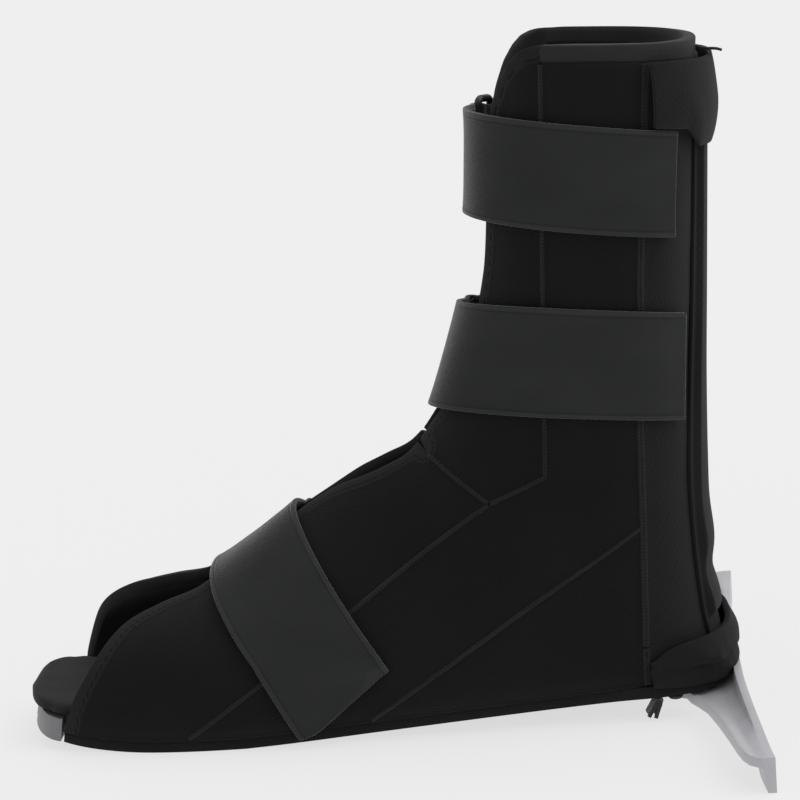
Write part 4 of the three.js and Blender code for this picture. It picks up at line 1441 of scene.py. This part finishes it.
# %% Cross bar
Station = namedtuple("Station", "y web_front web_top rear wall_top foot")
STATIONS = [Station(*row) for row in (
    (0, 103.0, 8.3, 138.8, 15.8, 4.6), (10, 103.0, 8.3, 138.8, 15.8, 4.6),
    (20, 103.0, 8.3, 138.8, 15.8, 4.6), (24, 112.0, 8.3, 138.8, 15.8, 4.6),
    (28, 117.0, 8.3, 138.8, 15.8, 4.6), (34, 118.4, 8.3, 138.8, 15.8, 4.6),
    (41, 121.0, 8.6, 138.9, 15.7, 4.8), (52, 123.8, 9.6, 139.3, 15.4, 5.6),
    (72, 126.6, 11.2, 140.3, 14.8, 6.6), (94, 129.4, 12.4, 141.6, 14.2, 4.0),
    (110, 131.4, 12.9, 142.6, 13.6, 0.0), (119, 133.0, 13.0, 143.2, 13.3, 0.0),
    (124.5, 135.0, 13.05, 143.7, 13.2, 0.0), (127.2, 137.6, 13.1, 143.9, 13.2, 0.0),
    (128, 139.6, 13.1, 144.0, 13.2, 0.0),
)]
BAR_WALL, BAR_WEB, BAR_EDGE = 3.4, 3.6, 0.9
BEAD_HEIGHT, BEAD_REACH, BEAD_TOP, BEAD_FOOT = 0.35, 9.0, 1.7, 3.4
FILLET_REACH, FILLET_HEIGHT = 3.6, 1.5
WALL_SLOPE, FOOT_SLOPE, FOOT_FILLET = 0.4, 0.3, 1.2
STEPS_PER_STATION = 3


def bar_section(t, side):
    """The bar's section at t stations from its middle, as points on one side of it."""
    i = min(int(t), len(STATIONS) - 2)
    share = t - i
    row = Station(*(a + (b - a) * share for a, b in zip(STATIONS[i], STATIONS[i + 1])))
    inner, under = row.rear - BAR_WALL, row.web_top - BAR_WEB
    reach = min((inner - row.web_front) / BEAD_REACH, 1)
    bead, floor_z = row.web_top + BEAD_HEIGHT * reach, row.web_top - BEAD_HEIGHT * reach
    corners = (
        (row.web_front, under), (row.web_front, bead), (row.web_front + BEAD_TOP * reach, bead),
        (row.web_front + BEAD_FOOT * reach, floor_z), (inner - FILLET_REACH * reach, floor_z),
        (inner, min(row.web_top + FILLET_HEIGHT, row.wall_top)), (inner + WALL_SLOPE, row.wall_top),
        (row.rear, row.wall_top), (row.rear, row.foot), (inner + FOOT_SLOPE, row.foot),
        (inner - FOOT_FILLET, max(row.foot, under)),
    )
    return [Vector((x, side * row.y, z)) for x, z in corners]


steps = [k / STEPS_PER_STATION for k in range((len(STATIONS) - 1) * STEPS_PER_STATION + 1)]
rings = [bar_section(t, -1) for t in reversed(steps)] + [bar_section(t, 1) for t in steps[1:]]
bar = piece(
    "anti_rotation_bar", lofted(rings, False), [GREY_PLASTIC], ["anti_rotation_bar"],
)
crisp(bar, BAR_EDGE, 3)
print("bar sections:", len(rings))

# %% [markdown]
# Rivets hold the bar to the sole. A rivet is turned about its own axis, so half of its
# outline is spun round once. Each takes its height and its radius from its solid.

# %% Rivets
HEAD_HEIGHT, RIVET_EDGE, RIVET_STEPS = 1.8, 0.2, 28
HEAD_ROUND = ((0.5, 0), (0.85, 0.35), (1.0, 0.9))
SHANKS = {"bar_rivet": 2.2, "sole_rivet": 1.6}


def rivet(name, shank):
    """A rivet with its head down, in the box of its solid; shank is the shank's radius."""
    low, high = (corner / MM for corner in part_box(name))
    radius, centre = (high.x - low.x) / 2, (low + high) / 2
    head = low.z + min(HEAD_HEIGHT, (high.z - low.z) / 3)
    outline = [(0, low.z)] + [(radius * share, low.z + rise) for share, rise in HEAD_ROUND]
    outline += [(radius, head), (shank, head), (shank, high.z), (0, high.z)]
    bm = bmesh.new()
    verts = [bm.verts.new((centre.x + r, centre.y, z)) for r, z in outline]
    edges = [bm.edges.new(pair) for pair in zip(verts, verts[1:])]
    bmesh.ops.spin(
        bm, geom=verts + edges, cent=(centre.x, centre.y, 0), axis=(0, 0, 1), angle=2 * math.pi,
        steps=RIVET_STEPS, use_merge=True,
    )
    bmesh.ops.remove_doubles(bm, verts=bm.verts, dist=0.01)
    bmesh.ops.recalc_face_normals(bm, faces=bm.faces)
    made = piece(name, bm, [BLACK_PLASTIC], [name])
    return crisp(made, RIVET_EDGE)


for name, shank in SHANKS.items():
    for side_name in ("near", "far"):
        made = rivet(f"{name}_{side_name}", shank)
        print(made.name, "from", [round(v / MM, 1) for v in made.bound_box[0]])

# %% [markdown]
# A short folded end of tape hangs out under the heel, where the heel band's tape was cut.

# %% Folded tape under the heel
TAIL_PATH = [
    (101.6, 1.7), (102.5, 3.6), (104.0, 6.6), (104.9, 7.7), (106.2, 7.7), (106.6, 6.4), (105.2, 3.2),
    (104.3, 1.1),
]
TAIL_NEAR, TAIL_FAR = -39.3, -30.7
TAIL_LENGTH, TAIL_THICKNESS, TAIL_SWAY, TAIL_EDGE = 16, 1.5, 0.35, 0.35


def along_path(points, share):
    """Place on a side-view path, a share of the way along its points."""
    at = share * (len(points) - 1)
    i = min(int(at), len(points) - 2)
    return Vector(points[i]).lerp(Vector(points[i + 1]), at - i)


def tail_place(u, v):
    """Place on the folded tape: u runs along its path and v across it."""
    spot = along_path(TAIL_PATH, u)
    sway = TAIL_SWAY * math.sin(5 * v + 6 * u)
    return Vector((spot.x + sway, TAIL_NEAR + (TAIL_FAR - TAIL_NEAR) * v, spot.y))


bm = laid_grid(21, 8, tail_place, (TAIL_LENGTH, TAPE_WIDTH))
tail = piece("heel_tail", bm, [TAPE], ["heel_tail"])
thicken(tail, TAIL_THICKNESS, 0)
tail.modifiers["thickness"].offset = 0
crisp(tail, TAIL_EDGE)
print("tape under the heel:", round(TAIL_FAR - TAIL_NEAR, 1), "mm wide")

# %% [markdown]
# ## Seams
# The panels are sewn edge to edge, and a slim welt covers each seam: it shows as a raised
# line, doubled behind the ankle. The line of a seam is walked in the side view, and a ray
# from the side finds the panel under each point of a narrow grid, or the shell where no
# panel is hit.

# %% Seam welts
SEAM_RUNS = {
    "flap": (("flap_top", "flap_foot", "fork"), 1), "throat": (("throat", "fork"), 1),
    "vamp": (("fork", "vamp_foot"), 1), "heel": (("heel_foot", "heel_top"), 1),
    "rear": (("rear_low", "heel_top", "rear_ankle", "rear_calf", "rear_top"), 2),
    "rear_foot": (("rear_foot", "rear_low"), 2),
}
WELT_STEP, WELT_HALF, WELT_RISE, WELT_SINK, WELT_THICKNESS = 1.0, 0.95, 0.62, 0.12, 0.6
WIDER_PER_RIDGE, RAY_FROM = 0.55, 300


def outer_cloth(made_panels):
    """A search tree of the panels' outer faces, in millimetres."""
    places, faces = [], []
    for made in made_panels:
        start = len(places)
        places += [v.co / MM for v in made.data.vertices]
        faces += [[start + k for k in face.vertices] for face in made.data.polygons]
    return BVHTree.FromPolygons(places, faces)


cloth_trees = outer_cloth(side_panels + [back_panel]), BVHTree.FromBMesh(shell)


def walk(points, step):
    """Points along a side-view line, about a step apart, each with the line's direction."""
    for a, b in zip(points, points[1:]):
        start, run = Vector(a), Vector(b) - Vector(a)
        count = max(round(run.length / step), 1)
        for k in range(count):
            yield start + run * ((k + 0.5) / count), run.normalized()


def on_cloth(spot, side):
    """The cloth's point and outward normal at a side-view spot, or None."""
    origin = Vector((spot.x, side * RAY_FROM, spot.y))
    for tree in cloth_trees:
        hit, normal, _, _ = tree.ray_cast(origin, Vector((0, -side, 0)))
        if hit is not None and hit.y * side > 0:
            return hit, normal if normal.y * side > 0 else -normal
    return None


def welt(name, run, ridges, side):
    """A narrow raised strip on the cloth along one seam."""
    half = WELT_HALF * (1 + WIDER_PER_RIDGE * (ridges - 1))

    def aside(way, v):
        return Vector((-way.y, way.x)) * half * (2 * v - 1)

    stops = [
        (spot, way) for spot, way in walk(run, WELT_STEP)
        if on_cloth(spot + aside(way, 0), side) and on_cloth(spot + aside(way, 1), side)
    ]

    def place(u, v):
        spot, way = stops[round(u * (len(stops) - 1))]
        hit, outwards = on_cloth(spot + aside(way, v), side)
        return hit + outwards * (WELT_RISE * abs(math.sin(ridges * math.pi * v)) - WELT_SINK)

    bm = laid_grid(len(stops) - 1, 4 * ridges, place, (len(stops) * WELT_STEP, 2 * half))
    face_outwards(bm, lambda p: Vector((0, side, 0)))
    side_name = "near" if side < 0 else "far"
    made = piece(f"welt_{name}_{side_name}", bm, [WELT], [f"side_panel_{side_name}"])
    return thicken(made, WELT_THICKNESS, 0)


for name, (run, ridges) in SEAM_RUNS.items():
    for side in (-1, 1):
        made = welt(name, [SEAM[k] for k in run], ridges, side)
        print(made.name, len(made.data.polygons), "faces")
